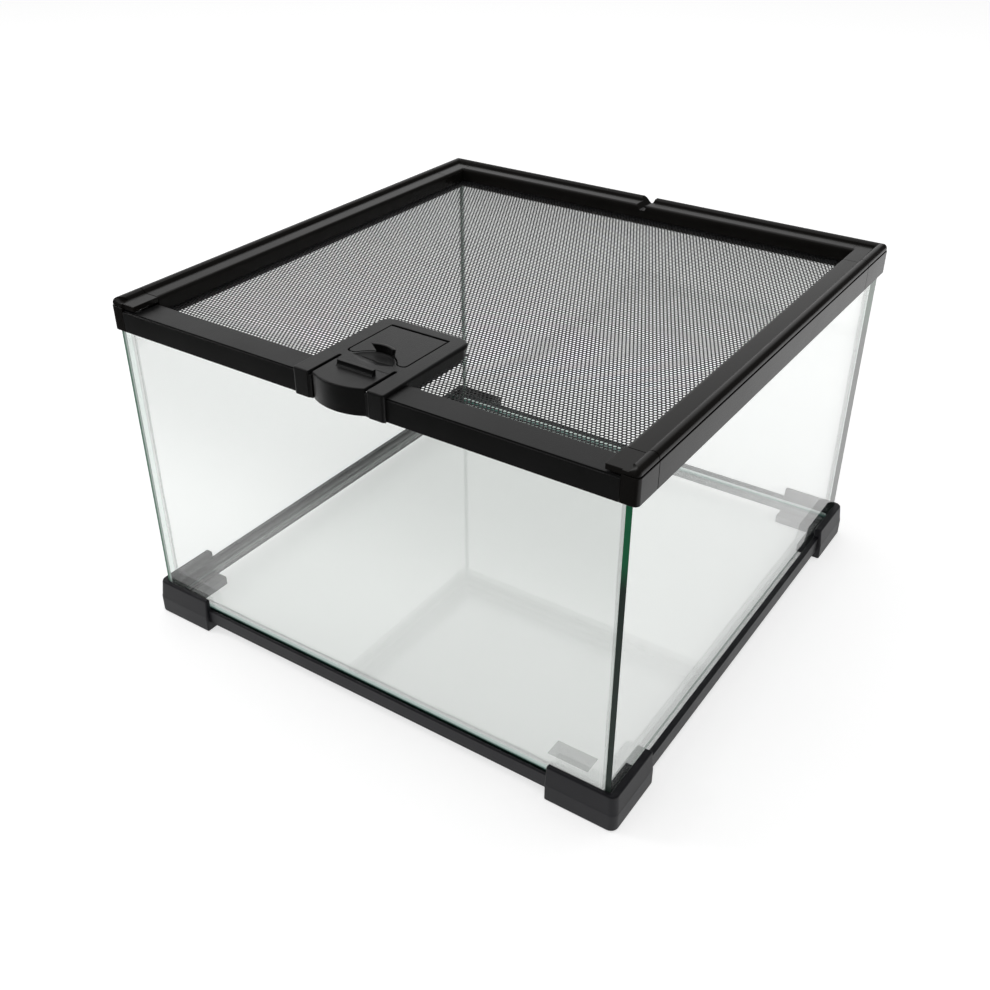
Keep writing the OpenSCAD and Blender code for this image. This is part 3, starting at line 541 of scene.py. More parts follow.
def mirrored(solid):
    """A solid mirrored from right to left, with its faces turned so that they still point outwards."""
    points, faces = solid
    return points * [-1, 1, 1], [face[::-1] for face in faces]


def bar(outline, low, high, low_r, high_r, steps=4):
    """An outline carried from low to high with its end edges rounded."""
    return shell(layers(outline, round_levels(low, high, low_r, high_r, steps)))


def block(low, high, r, steps=3):
    """A box with rounded upright corners and edges."""
    return bar(rectangle(low[:2], high[:2], r, steps), low[2], high[2], r, r, steps)


def along_x(outline, half, y, z):
    """An outline in y and z, carried along x from -half to half, with its origin moved to y and z."""
    return turned(bar(outline, -half, half, 0.2, 0.2, 2), (0, y, z), (0, 1, 0), (0, 0, 1), (1, 0, 0))


def in_corner(solid, place, x, y):
    """A solid drawn from the origin towards +x and +y, put into the corner on sides x and y, each -1 or 1."""
    return turned(solid, place, (-x, 0, 0), (0, -y, 0), (0, 0, 1))

# %% Pieces
SHARP_ANGLE = 32
SAME_POINT = 0.002


def even_flats(made):
    """Keeps wide flat faces flat in their shading beside small rounds."""
    made.modifiers.new("flat_faces", "WEIGHTED_NORMAL").keep_sharp = True


def place_piece(name, mesh, body, stands_for=()):
    """An object for a finished mesh, which rides on a body and stands for CAD nodes."""
    made = bpy.data.objects.new(name, mesh)
    scene.collection.objects.link(made)
    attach(made, body)
    if stands_for:
        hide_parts(*stands_for)
    print(name, "faces:", len(mesh.polygons))
    return made


def piece(name, body, stands_for, solids, materials, weld=False):
    """One object from (points, faces) or (points, faces, material numbers) in millimetres.

    Faces meet smoothly below the sharp angle. A welded piece has its touching points joined.
    """
    points = np.concatenate([s[0] for s in solids]) * MM
    starts = np.cumsum([0] + [len(s[0]) for s in solids])
    faces = [[v + start for v in face] for s, start in zip(solids, starts) for face in s[1]]
    numbers = np.concatenate([s[2] if len(s) > 2 else np.zeros(len(s[1]), int) for s in solids])
    mesh = bpy.data.meshes.new(name)
    mesh.from_pydata(points.tolist(), [], faces)
    for material in materials:
        mesh.materials.append(material)
    mesh.polygons.foreach_set("material_index", numbers.astype(np.int32))
    if weld:
        joint = bmesh.new()
        joint.from_mesh(mesh)
        bmesh.ops.remove_doubles(joint, verts=joint.verts, dist=SAME_POINT * MM)
        bmesh.ops.recalc_face_normals(joint, faces=joint.faces)
        joint.to_mesh(mesh)
        joint.free()
    mesh.shade_smooth()
    mesh.set_sharp_from_angle(angle=math.radians(SHARP_ANGLE))
    made = place_piece(name, mesh, body, stands_for)
    even_flats(made)
    return made


def moulding(node, body, solids, material, weld=False):
    """A moulded piece in one finish that stands for one CAD node."""
    return piece(node + "_moulding", body, [node], solids, [material], weld)

# %% [markdown]
# ## The panes
#
# Five sheets of 3 mm glass make the box. A cut sheet has its sharp edges taken
# off with a stone. A Bevel modifier could do that, but a block with tiny rounds
# also says which faces are edges: those that don't look along the thin axis.

# %% Panes
GLASS_BEVEL = 0.25
BROAD, EDGE, SIDE_EDGE = 0, 1, 2


def pane(node, thin_axis):
    """A bevelled sheet in a CAD pane's place, with a material number for each face.

    Faces that look along the thin axis are broad. On the floor pane, edges that look along x are side edges.
    """
    low, high = span(node)
    points, faces = block(low, high, GLASS_BEVEL, 1)
    corners = [points[face] for face in faces]
    ways = np.array([np.cross(c[1] - c[0], c[2] - c[1]) for c in corners])
    thin = np.abs(ways[:, thin_axis]) > 0.95 * np.linalg.norm(ways, axis=1)
    sideways = (np.abs(ways[:, 0]) > np.abs(ways[:, 1])) & (thin_axis == 2)
    return points, faces, np.where(thin, BROAD, np.where(sideways, SIDE_EDGE, EDGE))


for node, axis, finishes in (
    ("front_glass", 1, [clear_glass, pale_edge]),
    ("back_glass", 1, [clear_glass, pale_edge]),
    ("left_glass", 0, [clear_glass, painted_backlit_edge]),
    ("right_glass", 0, [clear_glass, green_edge_painted_light]),
    ("floor_glass", 2, [floor_clear_painted_shade, floor_edge_painted_glow, pale_edge]),
):
    piece(node + "_pane", "tank", [node], [pane(node, axis)], finishes)

# %% [markdown]
# ## The silicone
#
# The panes are glued edge to edge, and a finger drawn along each inner corner
# leaves a hollow fillet. A straight extrusion would look machined. So the
# section, a corner with a quarter circle cut out of it, is carried along the
# seam while its width wanders a little: a sum of two slow waves. A dark bed of
# glue fills the gap under the floor pane's front and back edge.

# %% Seams
SEAM_LEG = 3.0
SEAM_GAP = 0.02
SEAM_STATIONS = 60
BED_LOW, BED_WIDTH, BED_OUT = 7.6, 2.0, 0.1


def fillet(leg, steps=6):
    """The section of a hollow fillet in the corner of +x and +y: the corner, then a quarter circle."""
    return np.concatenate([[[0, 0]], arc((leg, leg), leg, 270, 180, steps)])


def seam(length):
    """A hollow fillet along z from 0 to length: its width is 1 plus two slow waves of a few hundredths."""
    t = np.linspace(0, length, SEAM_STATIONS)
    width = 1 + 0.05 * np.sin(t / 17.0) + 0.03 * np.sin(t / 6.3 + 1)
    section = fillet(SEAM_LEG)[None] * width[:, None, None] + SEAM_GAP
    height = np.broadcast_to(t[:, None, None], (*section.shape[:2], 1))
    return shell(np.concatenate([section, height], 2))


def floor_seam(length, place, inward, along):
    """A seam along the floor's edge."""
    return turned(seam(length), place, inward, (0, 0, 1), along)


glass_low, glass_high = span("floor_glass")
glass_in_x = span("right_glass")[0][0]
front_y, back_y = span("front_glass")[1][1], span("back_glass")[0][1]
floor_z = glass_high[2]
for side, x in (("left", -1), ("right", 1)):
    for end, y, inner_y in (("front", -1, front_y), ("back", 1, back_y)):
        node = f"corner_seal_{end}_{side}"
        upright_seam = seam(span(node)[1][2] - floor_z - SEAM_LEG)
        placed = in_corner(upright_seam, (x * glass_in_x, inner_y, floor_z + SEAM_LEG), x, y)
        piece(node + "_bead", "tank", [node], [placed], [silicone])

across, depth = 2 * glass_in_x, back_y - front_y
floor_runs = [floor_seam(across, (-glass_in_x, y, floor_z), (0, inward, 0), (1, 0, 0))
              for y, inward in ((front_y, 1), (back_y, -1))]
floor_runs += [floor_seam(depth, (x, front_y, floor_z), (-np.sign(x), 0, 0), (0, 1, 0))
               for x in (-glass_in_x, glass_in_x)]
for y in (glass_low[1] - BED_OUT, glass_high[1] + BED_OUT - BED_WIDTH):
    bed_end = (glass_high[0] - BED_OUT, y + BED_WIDTH, glass_low[2] - SEAM_GAP)
    points, faces = block((glass_low[0] + BED_OUT, y, BED_LOW), bed_end, 0.2, 1)
    floor_runs.append((points, faces, np.ones(len(faces), int)))
piece("floor_seal_bead", "tank", ["floor_seal"], floor_runs, [floor_silicone, bedding])

# %% [markdown]
# ## The base
#
# A slim strip clips over the lower edge of each pane, and a foot covers each
# corner. Both could be boxes with a Bevel, but the clip's shape shows at the
# ends and from below. So the strip is an L carried along its length: a wall
# outside the glass and a lip under it. A foot is an L seen from above, and its
# outer faces stand upright for the lower half and then lean in.

# %% Strips
GLASS_THICK = 3.0
STRIP_LIP = 2.0
STRIP_ROUND = 0.4
STRIP_RADII = [STRIP_ROUND, STRIP_ROUND, 0.3, 0.2, 0.3, STRIP_ROUND]
GLASS_ROOM = 0.05
FRONT_DROP = 1.0


def strip(node, axis):
    """A base strip: an L section, x inwards and y up, carried along the strip."""
    low, high = span(node)
    side = 1 - axis
    sign = -np.sign(low[side] + high[side])
    outside = low[side] if sign > 0 else high[side]
    width = high[side] - low[side]
    wall = width - GLASS_THICK - GLASS_ROOM
    height = high[2] - low[2] - (FRONT_DROP if node == "base_strip_front" else 0)
    corners = [(0, 0), (width, 0), (width, STRIP_LIP), (wall, STRIP_LIP), (wall, height), (0, height)]
    solid = bar(rounded(corners, STRIP_RADII, 4), low[axis], high[axis], 0.2, 0.2, 2)
    x_to, z_to = np.eye(3)[side], np.eye(3)[axis]
    return turned(solid, outside * x_to + [0, 0, low[2]], sign * x_to, (0, 0, 1), z_to)


for side, axis in (("front", 0), ("back", 0), ("left", 1), ("right", 1)):
    node = "base_strip_" + side
    moulding(node, "tank", [strip(node, axis)], matt_base)

# %% Feet
FOOT_BAND = 10.5
FOOT_LEAN = 1.25
FOOT_PLATE = 15.0
PLATE_TOP = 5.5
PANE_SEAT = 7.5
FOOT_ROUND = 0.9
FOOT_RADII = [4.0, 0.8, 0.4, 0.4, 0.4, 0.8]
TIGHT = -0.1


def foot_layer(length, wall_x, wall_y, inset, draw):
    """A foot's L at one height: outer faces at inset, legs up to length, and all of it drawn in."""
    low, x, y, far = inset + draw, wall_x - draw, wall_y - draw, length - draw
    return rounded([(low, low), (far, low), (far, y), (x, y), (x, far), (low, far)], FOOT_RADII, 6)


def foot_solid(length, height, wall_x, wall_y):
    """A foot with its outer corner at the origin, in rows of (height, lean, extra wall, draw).

    The lean grows in proportion above the band, and a quarter circle rounds the lowest and the highest edge.
    """
    turn = np.linspace(0, np.pi / 2, 5)
    out, over = FOOT_ROUND * (1 - np.sin(turn)), FOOT_ROUND * (1 - np.cos(turn))
    slope = FOOT_LEAN / (height - FOOT_BAND)
    rows = [(rise, 0, FOOT_PLATE, draw) for rise, draw in zip(over, out)]
    rows += [(PLATE_TOP, 0, FOOT_PLATE, 0), (PLATE_TOP, 0, GLASS_THICK, 0)]
    rows += [(PANE_SEAT, 0, GLASS_THICK, 0), (PANE_SEAT, 0, TIGHT, 0)]
    rows += [(FOOT_BAND + step, lean, TIGHT, 0) for step, lean in ((-0.6, 0), (0, 0.05), (0.6, 0.22))]
    tops = zip(height - out, over)
    rows += [(top, slope * (top - FOOT_BAND), TIGHT, 0.7 * draw) for top, draw in tops]
    stack = []
    for z, lean, extra, draw in rows:
        x, y = (extra, extra) if extra == FOOT_PLATE else (wall_x + extra, wall_y + extra)
        layer = foot_layer(length, x, y, lean, draw)
        stack.append(np.column_stack([layer, np.full(len(layer), z)]))
    return shell(np.array(stack))


for end, y in (("front", -1), ("back", 1)):
    for side, x in (("left", -1), ("right", 1)):
        node = f"foot_{end}_{side}"
        low, high = span(node)
        outer = np.where([x < 0, y < 0], low[:2], high[:2])
        glass_corner = np.where([x < 0, y < 0], *(corner[:2] for corner in span(side + "_glass")))
        solid = foot_solid(high[0] - low[0], high[2], *np.abs(outer - glass_corner))
        moulding(node, "tank", [in_corner(solid, (*outer, 0), x, y)], matt_base)

# %% [markdown]
# ## The top rim
#
# Three rails run round the sides and the back. Stacked boxes would give their
# steps but not the bead. So a rail is one section carried along a line: a skirt
# outside the glass, a thin shadow groove, a rounded bead along the outer edge,
# a flat ledge, and below it the slot for the pane and the groove that the lid
# slides in.

# %% Rail section
BEAD_MID, BEAD_HALF = 3.4, 3.1
BEAD_DROP, BEAD_RISE = 1.5, 2.9
SHADOW_GROOVE = (2.55, 1.95, 0.9)
LEDGE_DROP = 0.6
GLASS_SLOT = 0.1
CORE = (7.7, 10.5, 3.0)
RUNNER_GROOVE = (10.7, 8.5, 4.0)
BLOCK_DROP = 12.6
SLOT_TOP = -5.9
LEDGE_R = 2.0


def rim_outline(height, inside, radii):
    """A rim outline, x inwards from its outer face and y up from the CAD rim's top, counter-clockwise.

    Inside is the run from the skirt's inner foot to the ledge's inner edge. The bead is an ellipse from the
    ledge over to the outer face, and the outer face has the shadow groove under the bead. Both runs have
    end points that only steer their arcs, and those are cut off again.
    """
    inner = rounded([*inside, (0, -LEDGE_DROP)], [*radii, 0.1], 3)[:-4]
    meet = math.asin((BEAD_DROP - LEDGE_DROP) / BEAD_RISE)
    t = np.linspace(meet, np.pi, 16)
    bead = np.stack([BEAD_MID + BEAD_HALF * np.cos(t), BEAD_RISE * np.sin(t) - BEAD_DROP], 1)
    low, high, deep = SHADOW_GROOVE
    edge = BEAD_MID - BEAD_HALF
    outer = rounded([
        (edge, -1), (edge, -high), (deep, -high), (deep, -low), (0, -low), (0, -height), (deep, -height)
    ], [0.1, 0.15, 0.1, 0.1, 0.3, 0.35, 0.1], 3)[4:-4]
    return np.concatenate([inner, bead, outer])


def rail_section(width, height, glass_in, glass_room=GLASS_THICK):
    """A rail's outline: the slot for the pane, the core's groove and the groove that the lid runs in."""
    groove_low, groove_high, groove_in = RUNNER_GROOVE
    core_x, core_end, core_top = CORE
    slot, slot_end, groove_x = glass_in - GLASS_SLOT, glass_in + glass_room + GLASS_SLOT, width - groove_in
    return rim_outline(height, [
        (slot, -height), (slot, SLOT_TOP), (slot_end, SLOT_TOP), (slot_end, -BLOCK_DROP),
        (core_x, -BLOCK_DROP), (core_x, -core_top), (core_end, -core_top), (core_end, -BLOCK_DROP),
        (width, -BLOCK_DROP), (width, -groove_low), (groove_x, -groove_low), (groove_x, -groove_high),
        (width, -groove_high), (width, -LEDGE_DROP),
    ], [0.2] * 8 + [0.4, 0.2, 0.2, 0.2, 0.2, LEDGE_R])

# %% Side rails
RAIL_END = 0.15
rail_low, rail_high = span("rail_right")
outer_x, rim_top = rail_high[[0, 2]]
rim_width, rim_height = (rail_high - rail_low)[[0, 2]]
side_section = rail_section(rim_width, rim_height, outer_x - span("right_glass")[1][0])
side_rail = bar(side_section, rail_low[1], rail_high[1], RAIL_END, RAIL_END, 2)
for side, x in (("right", 1), ("left", -1)):
    placed = turned(side_rail, (x * outer_x, 0, rim_top), (-x, 0, 0), (0, 0, 1), (0, 1, 0))
    moulding("rail_" + side, "tank", [placed], satin_rim)

# %% [markdown]
# The back rail has a notch in its middle for a lamp or probe lead. A Boolean
# would cut it, and leave long thin faces that shade badly. Here the notch is a
# ceiling over the section instead: each station along the rail has its own
# highest height, low in the middle and rising to the bead on both sides.

# %% Back rail
NOTCH_LEFT, NOTCH_RIGHT = (-0.6, 4.2), (3.0, 1.6)
NOTCH_DEPTH, NOTCH_CLEAR = 3.5, 1.6
NOTCH_REACH = 6


def notch_ceiling(x):
    """The highest height at each x: flat in the notch, then rising past the bead, more gently on its left."""
    left = (NOTCH_LEFT[0] - x) / NOTCH_LEFT[1]
    right = (x - NOTCH_RIGHT[0]) / NOTCH_RIGHT[1]
    return -NOTCH_DEPTH + (NOTCH_DEPTH + NOTCH_CLEAR) * np.maximum(np.maximum(left, right), 0)


def notched_rail(half, section):
    """The section carried from -half to half, cut off at the notch's ceiling."""
    near = np.linspace(-NOTCH_REACH, NOTCH_REACH, 31)
    x = np.concatenate([[-half, RAIL_END - half], near, [half - RAIL_END, half]])
    inset = np.zeros(len(x))
    inset[[0, -1]] = RAIL_END
    rows = layers(section, np.stack([x, inset], 1))
    rows[..., 1] = np.minimum(rows[..., 1], notch_ceiling(rows[..., 2]))
    return shell(rows)


back_high = span("rail_back")[1]
back_glass_in = back_high[1] - span("back_glass")[1][1]
back_section = rail_section(rim_width, rim_height, back_glass_in)
notched = notched_rail(back_high[0], back_section)
placed = turned(notched, (0, back_high[1], rim_top), (0, -1, 0), (0, 0, 1), (1, 0, 0))
moulding("rail_back", "tank", [placed], satin_rim, weld=True)

# %% [markdown]
# The corner pieces carry the same bead round a tight turn. A curve with a bevel
# profile would do it too, but its inner side would fold over itself. So a point
# of the section near the outer face turns on a small arc, and a point further
# in than the arc's radius makes a plain mitre. At the front the ledge reaches
# over the lid's bar as a plate.

# %% Rim corners
TURN_R = 2.5
BAR_ROOM = 0.2
SINK_AT = 5.2
CORNER_SEAM = 0.45
BACK_CORNER_SLOT = 4.4
FRONT_SLOT, FRONT_SLOT_END, FRONT_DEPTH = 1.5, 6.1, -12.2
PLATE_LAP, PLATE_FRONT, PLATE_LOW, PLATE_SINK = 0.6, 1.2, -3.4, 0.02


def turn_corner(section, leg_x, leg_y, sink=False, steps=6):
    """The section carried along x, round a corner whose outer point is the origin, and along y.

    A bead that sinks falls to the ledge's height just after the turn.
    """
    inward, z = section.T
    centre, r = np.maximum(inward, TURN_R), np.maximum(TURN_R - inward, 0)
    a = np.linspace(-np.pi / 2, -np.pi, steps + 1)[:, None]
    sunk = np.minimum(z, -LEDGE_DROP) if sink else z
    first = np.stack([np.full(len(z), leg_x), inward, sunk], 1)
    near = np.stack([np.maximum(inward, min(SINK_AT, leg_x)), inward, sunk], 1)
    last = np.stack([inward, np.full(len(z), leg_y), z], 1)
    height = np.broadcast_to(z, (steps + 1, len(z)))
    arcs = np.stack([centre + r * np.cos(a), centre + r * np.sin(a), height], 2)
    return shell(np.concatenate([first[None], near[None], arcs, last[None]]))


bar_room = outer_x - span("lid_bar")[1][0] - BAR_ROOM
corner_front_y = span("top_corner_front_right")[0][1]
front_section = rim_outline(rim_height, [
    (FRONT_SLOT, -rim_height), (FRONT_SLOT, SLOT_TOP), (FRONT_SLOT_END, SLOT_TOP),
    (FRONT_SLOT_END, FRONT_DEPTH), (bar_room, FRONT_DEPTH), (bar_room, -LEDGE_DROP),
], [0.2, 0.2, 0.2, 0.2, 0.2, 0.05])
back_corner_section = rail_section(rim_width, rim_height, back_glass_in, BACK_CORNER_SLOT)
front_room = rail_low[1] - corner_front_y
ledge_end = (rim_width, front_room - 0.1, -LEDGE_DROP - PLATE_SINK)
ledge_plate = block((bar_room - PLATE_LAP, PLATE_FRONT, PLATE_LOW), ledge_end, 0.4, 3)
front_turn = turn_corner(front_section, bar_room, front_room - CORNER_SEAM, True)
back_turn = turn_corner(back_corner_section, rim_width, back_high[1] - rail_high[1] - CORNER_SEAM / 2)
for side, x in (("left", -1), ("right", 1)):
    for end, y, end_y, solids in (
        ("front", -1, corner_front_y, [front_turn, ledge_plate]), ("back", 1, back_high[1], [back_turn])
    ):
        placed = [in_corner(solid, (x * outer_x, end_y, rim_top), x, y) for solid in solids]
        moulding(f"top_corner_{end}_{side}", "tank", placed, satin_rim, weld=True)

# %% [markdown]
# ## CAD parts that keep their shape
#
# The lid's bar and the small parts are right as the CAD gives them, apart from
# their knife-sharp edges. They needn't be made again: Weld joins the loose
# triangles, and Bevel rounds each edge that is sharper than 35 degrees.

# %% Rounded CAD parts
BEVEL_ANGLE = 35


def soften(material, width_mm, segments, *names):
    """Gives CAD nodes a finish, and rounds their sharp edges where a width is given."""
    for name in names:
        kept = nodes[name]
        kept.data.materials.clear()
        kept.data.materials.append(material)
        if width_mm:
            kept.modifiers.new("join", "WELD").merge_threshold = SAME_POINT * MM
            edge = kept.modifiers.new("edge", "BEVEL")
            edge.width = width_mm * MM
            edge.segments = segments
            edge.limit_method = "ANGLE"
            edge.angle_limit = math.radians(BEVEL_ANGLE)
            even_flats(kept)
        kept.data.shade_smooth()
    print(material.name, "on", *names)


soften(satin_rim, 0.2, 2, "front_sill", "latch_strike")
soften(bar_black, 0.3, 3, "lid_bar")
soften(satin_lid, 0.15, 2, "mesh_runner_left", "mesh_runner_right", "mesh_back_trim", "clamp_plate")
soften(pin_steel, 0.1, 2, "latch_pin", "hatch_pin")
soften(screw_zinc, 0, 0, "housing_screws")
soften(spring_wire, 0, 0, "latch_spring")

# %% [markdown]
# ## The mesh
#
# The lid's sheet is punched with small holes in staggered rows. A see-through
# pattern on a plain sheet would show no depth in the holes and no openings in a
# mesh file, so the holes are real. Each hole sits in a six-sided cell whose
# corners are as far from its neighbours as from itself, so the cells tile the
# sheet. A cell's top is six four-sided faces between its own edge and a
# six-sided hole. Walls are added along every edge that only one face uses,
# which gives the holes and the rim alike.

# %% Perforated sheet
PITCH = 2.1
ROW_PITCH = 2.02
HOLE_R = 0.88
SHEET_THICK = 0.18
SHEET_PARTS = 4
RIM_BLANK, HOUSE_BLANK, PORT_MARGIN = 2.5, 2.4, 2


def cell_corners(pitch, row):
    """The six corners of a staggered lattice's cell round its centre, counter-clockwise from the right."""
    tip = (pitch**2 / 4 + row**2) / (2 * row)
    shoulder = (row**2 - pitch**2 / 4) / (2 * row)
    half = pitch / 2
    return np.array([
        (half, -shoulder), (half, shoulder), (0, tip), (-half, shoulder), (-half, -shoulder), (0, -tip)
    ])


def lattice(low, high):
    """Centres of the staggered cells in a rectangle: every second row is shifted by half a pitch."""
    rows = np.arange(math.ceil(low[1] / ROW_PITCH), math.floor(high[1] / ROW_PITCH) + 1)
    columns = np.arange(math.ceil(low[0] / PITCH), math.floor(high[0] / PITCH))
    column, row = np.meshgrid(columns, rows)
    return np.stack([(column + 0.5 * (row % 2) + 0.25) * PITCH, row * ROW_PITCH], -1).reshape(-1, 2)


def merge_points(points, faces):
    """Points that lie on each other become one, with the faces numbered to match."""
    keys = np.round(points / 0.01).astype(np.int64)
    first, number = np.unique(keys, axis=0, return_index=True, return_inverse=True)[1:]
    return points[first], number.reshape(-1)[faces]


def punched(centres, pierced, low_z, high_z):
    """A sheet of cells as points and four-sided faces: pierced cells get a hole, and the rest are plain."""
    cell = cell_corners(PITCH, ROW_PITCH)
    hole = unit(cell) * HOLE_R
    ring = np.concatenate([cell, hole])
    points = (centres[:, None] + ring[None]).reshape(-1, 2)
    start = 12 * np.arange(len(centres))[:, None, None]
    k = np.arange(6)
    on = (k + 1) % 6
    open_faces = start[pierced] + np.stack([k, on, on + 6, k + 6], 1)[None]
    plain_faces = start[~pierced] + np.array([[0, 1, 2, 3], [3, 4, 5, 0]])[None]
    faces = np.concatenate([open_faces.reshape(-1, 4), plain_faces.reshape(-1, 4)])
    flat, faces = merge_points(points, faces)
    used = np.unique(faces)
    flat, faces = flat[used], np.searchsorted(used, faces)
    edges = np.stack([faces, np.roll(faces, -1, 1)], -1).reshape(-1, 2)
    code = edges[:, 0] * len(flat) + edges[:, 1]
    back = edges[:, 1] * len(flat) + edges[:, 0]
    rim = edges[~np.isin(code, back)]
    up = len(flat)
    walls = np.stack([rim[:, 0], rim[:, 1], rim[:, 1] + up, rim[:, 0] + up], 1)
    low = np.column_stack([flat, np.full(len(flat), low_z)])
    high = np.column_stack([flat, np.full(len(flat), high_z)])
    return np.concatenate([low, high]), np.concatenate([faces[:, ::-1], faces + up, walls])


def sheet_part(name, points, quads, stands_for):
    """A part of the sheet from many four-sided faces, put into the mesh as whole arrays."""
    mesh = bpy.data.meshes.new(name)
    mesh.vertices.add(len(points))
    mesh.vertices.foreach_set("co", (points * MM).astype(np.float32).ravel())
    mesh.loops.add(quads.size)
    mesh.loops.foreach_set("vertex_index", quads.astype(np.int32).ravel())
    mesh.polygons.add(len(quads))
    mesh.polygons.foreach_set("loop_start", np.arange(0, quads.size, 4, dtype=np.int32))
    mesh.update(calc_edges=True)
    mesh.validate()
    mesh.materials.append(mesh_coat)
    return place_piece(name, mesh, "lid", stands_for)


sheet_low, sheet_high = span("mesh_panel")
house_low, house_high = span("latch_housing")
hatch_front = span("feed_hatch")[0][1]
hinge_y, hinge_z = np.mean(span("hatch_pin"), 0)[1:]
port_low, port_high = np.array([-14, hatch_front + 8.9]), np.array([14, hinge_y - 4.2])
cells = lattice(sheet_low[:2] + 1.0, sheet_high[:2] - 1.0)
off_middle, backwards = np.abs(cells[:, 0]), cells[:, 1]
under_house = (off_middle < house_high[0] - HOUSE_BLANK) & (backwards < house_high[1] - HOUSE_BLANK)
near_edge = (off_middle > sheet_high[0] - RIM_BLANK) | (backwards > sheet_high[1] - RIM_BLANK)
in_port = ((cells > port_low - PORT_MARGIN) & (cells < port_high + PORT_MARGIN)).all(1)
cuts = np.linspace(sheet_low[1], sheet_high[1] + 1, SHEET_PARTS + 1)
for k in range(SHEET_PARTS):
    here = (backwards >= cuts[k]) & (backwards < cuts[k + 1]) & ~in_port
    pierced = ~(under_house | near_edge)[here]
    points, quads = punched(cells[here], pierced, sheet_high[2] - SHEET_THICK, sheet_high[2])
    sheet_part(f"lid_mesh_{k + 1}", points, quads, ["mesh_panel"] if k == 0 else [])

# %% [markdown]
# ## The latch housing
#
# The housing is moulded in one go. Boxes joined by Booleans would give its steps
# but not its soft edges, so it is built as a moulder draws it: a plate, walls that
# stand on the mesh, two cheeks that hang over the bar's front, and a finger
# dish in front of the hatch. The plate is one outline with a slot for the lever,
# stacked in layers. Its edge is softer at the back than in the slot, so every
# point of the outline has its own radius. Holes in its top need a flat face
# with holes, which a Delaunay net gives: triangles between all the loops.

# %% Plates with holes


def within(points, loop):
    """Whether each point lies in a closed loop: a ray to its right crosses it an odd number of times."""
    a, b = loop[None], np.roll(loop, -1, 0)[None]
    p = points[:, None]
    spans = (a[..., 1] > p[..., 1]) != (b[..., 1] > p[..., 1])
    rise = np.where(spans, b[..., 1] - a[..., 1], 1)
    cross = a[..., 0] + (p[..., 1] - a[..., 1]) * (b[..., 0] - a[..., 0]) / rise
    return (spans & (p[..., 0] < cross)).sum(1) % 2 == 1


def cap(outer, holes, z, up=True):
    """A flat face at height z between an outer loop and its holes, as a constrained Delaunay net."""
    loops = [outer, *holes]
    ends = np.cumsum([0] + [len(loop) for loop in loops])
    rings = [range(a, b) for a, b in zip(ends[:-1], ends[1:])]
    edges = [(ring[k - 1], ring[k]) for ring in rings for k in range(len(ring))]
    net = geometry.delaunay_2d_cdt(np.concatenate(loops).tolist(), edges, [], 0, 1e-6)
    points = np.array([tuple(v) for v in net[0]])
    faces = np.array([tuple(f) for f in net[2]])
    middles = points[faces].mean(1)
    kept = within(middles, outer) & ~np.any([within(middles, hole) for hole in holes], 0)
    faces = faces[kept] if up else faces[kept][:, ::-1]
    return np.column_stack([points, np.full(len(points), z)]), faces.tolist()


def wall(loop, levels):
    """The side of a stack of (height, inset): it faces out where the levels rise, and in where they fall."""
    return shell(layers(loop, levels), False, False)


def joined(*solids):
    """Several surfaces as one."""
    starts = np.cumsum([0] + [len(points) for points, faces in solids])
    faces = [[v + start for v in face] for (points, own), start in zip(solids, starts) for face in own]
    return np.concatenate([points for points, own in solids]), faces


def pierced_plate(outer, holes, low, high):
    """A plate from low to high with holes straight through it."""
    sides = [wall(outer, [(low, 0), (high, 0)])] + [wall(hole, [(high, 0), (low, 0)]) for hole in holes]
    return joined(cap(outer, holes, low, False), cap(outer, holes, high), *sides)

# %% Measures of the latch
front, bar_back = span("lid_bar")[0][1], span("lid_bar")[1][1]
bar_top = span("lid_bar")[1][2]
house_x, house_back, house_top = house_high
house_front, cheek_bottom = house_low[1:]
lever_x = span("latch_lever")[1][0]
slot_x = lever_x + 1.7
pivot_y, pivot_z = np.mean(span("latch_pin"), 0)[1:]
slit_end = pivot_y + 4.6
BARREL_R, BARREL_ROOM = 2.65, 2.68
under = house_top - 2.0
HATCH_X = span("feed_hatch")[1][0]
HOLLOW_R = 13.9
DISH_BACK_R, DISH_FRONT_R = 12.7, 22.8
dish_y = hatch_front + 7.4 - HOLLOW_R
dish_front_y = pivot_y + 3.8 + DISH_FRONT_R
print("pivot:", pivot_y, pivot_z, "hinge:", hinge_y, hinge_z)

# %% [markdown]
# The hatch's front edge is hollowed by an arc round the dish, and swings into
# the straight edge beside it. A Boolean with a cylinder would leave a sharp
# point there, and the real one is eased. Only the right half is worked out, and
# the left one is its mirror image. The same outline, grown by the gap, is the
# recess.

# %% Hatch outline
HATCH_R, HATCH_BACK_R, EASE = 2.2, 0.5, 1.6


def bend(start, corner, end, steps=6):
    """A quadratic curve that heads for the corner from both ends."""
    s = np.linspace(0, 1, steps + 1)[:, None]
    return (1 - s) ** 2 * start + 2 * s * (1 - s) * corner + s**2 * end


def hatch_outline(grow, back):
    """The hatch from above, grown all round, counter-clockwise from the middle of its hollow front edge."""
    x, low, r = HATCH_X + grow, hatch_front - grow, HOLLOW_R - grow
    meet = math.degrees(math.acos((low - dish_y) / r))
    hollow = arc((0, dish_y), r, 90, 90 - meet + 8, 14)
    point = np.array([r * math.sin(math.radians(meet)), low])
    swing = bend(hollow[-1], point, point + [EASE, 0])
    corner = arc((x - HATCH_R, low + HATCH_R), HATCH_R, -90, 0, 6)
    rear = arc((x - HATCH_BACK_R, back - HATCH_BACK_R), HATCH_BACK_R, 0, 90, 3)
    half = np.concatenate([hollow, swing[1:], corner, rear])
    return np.concatenate([half, half[:0:-1] * [-1, 1]])

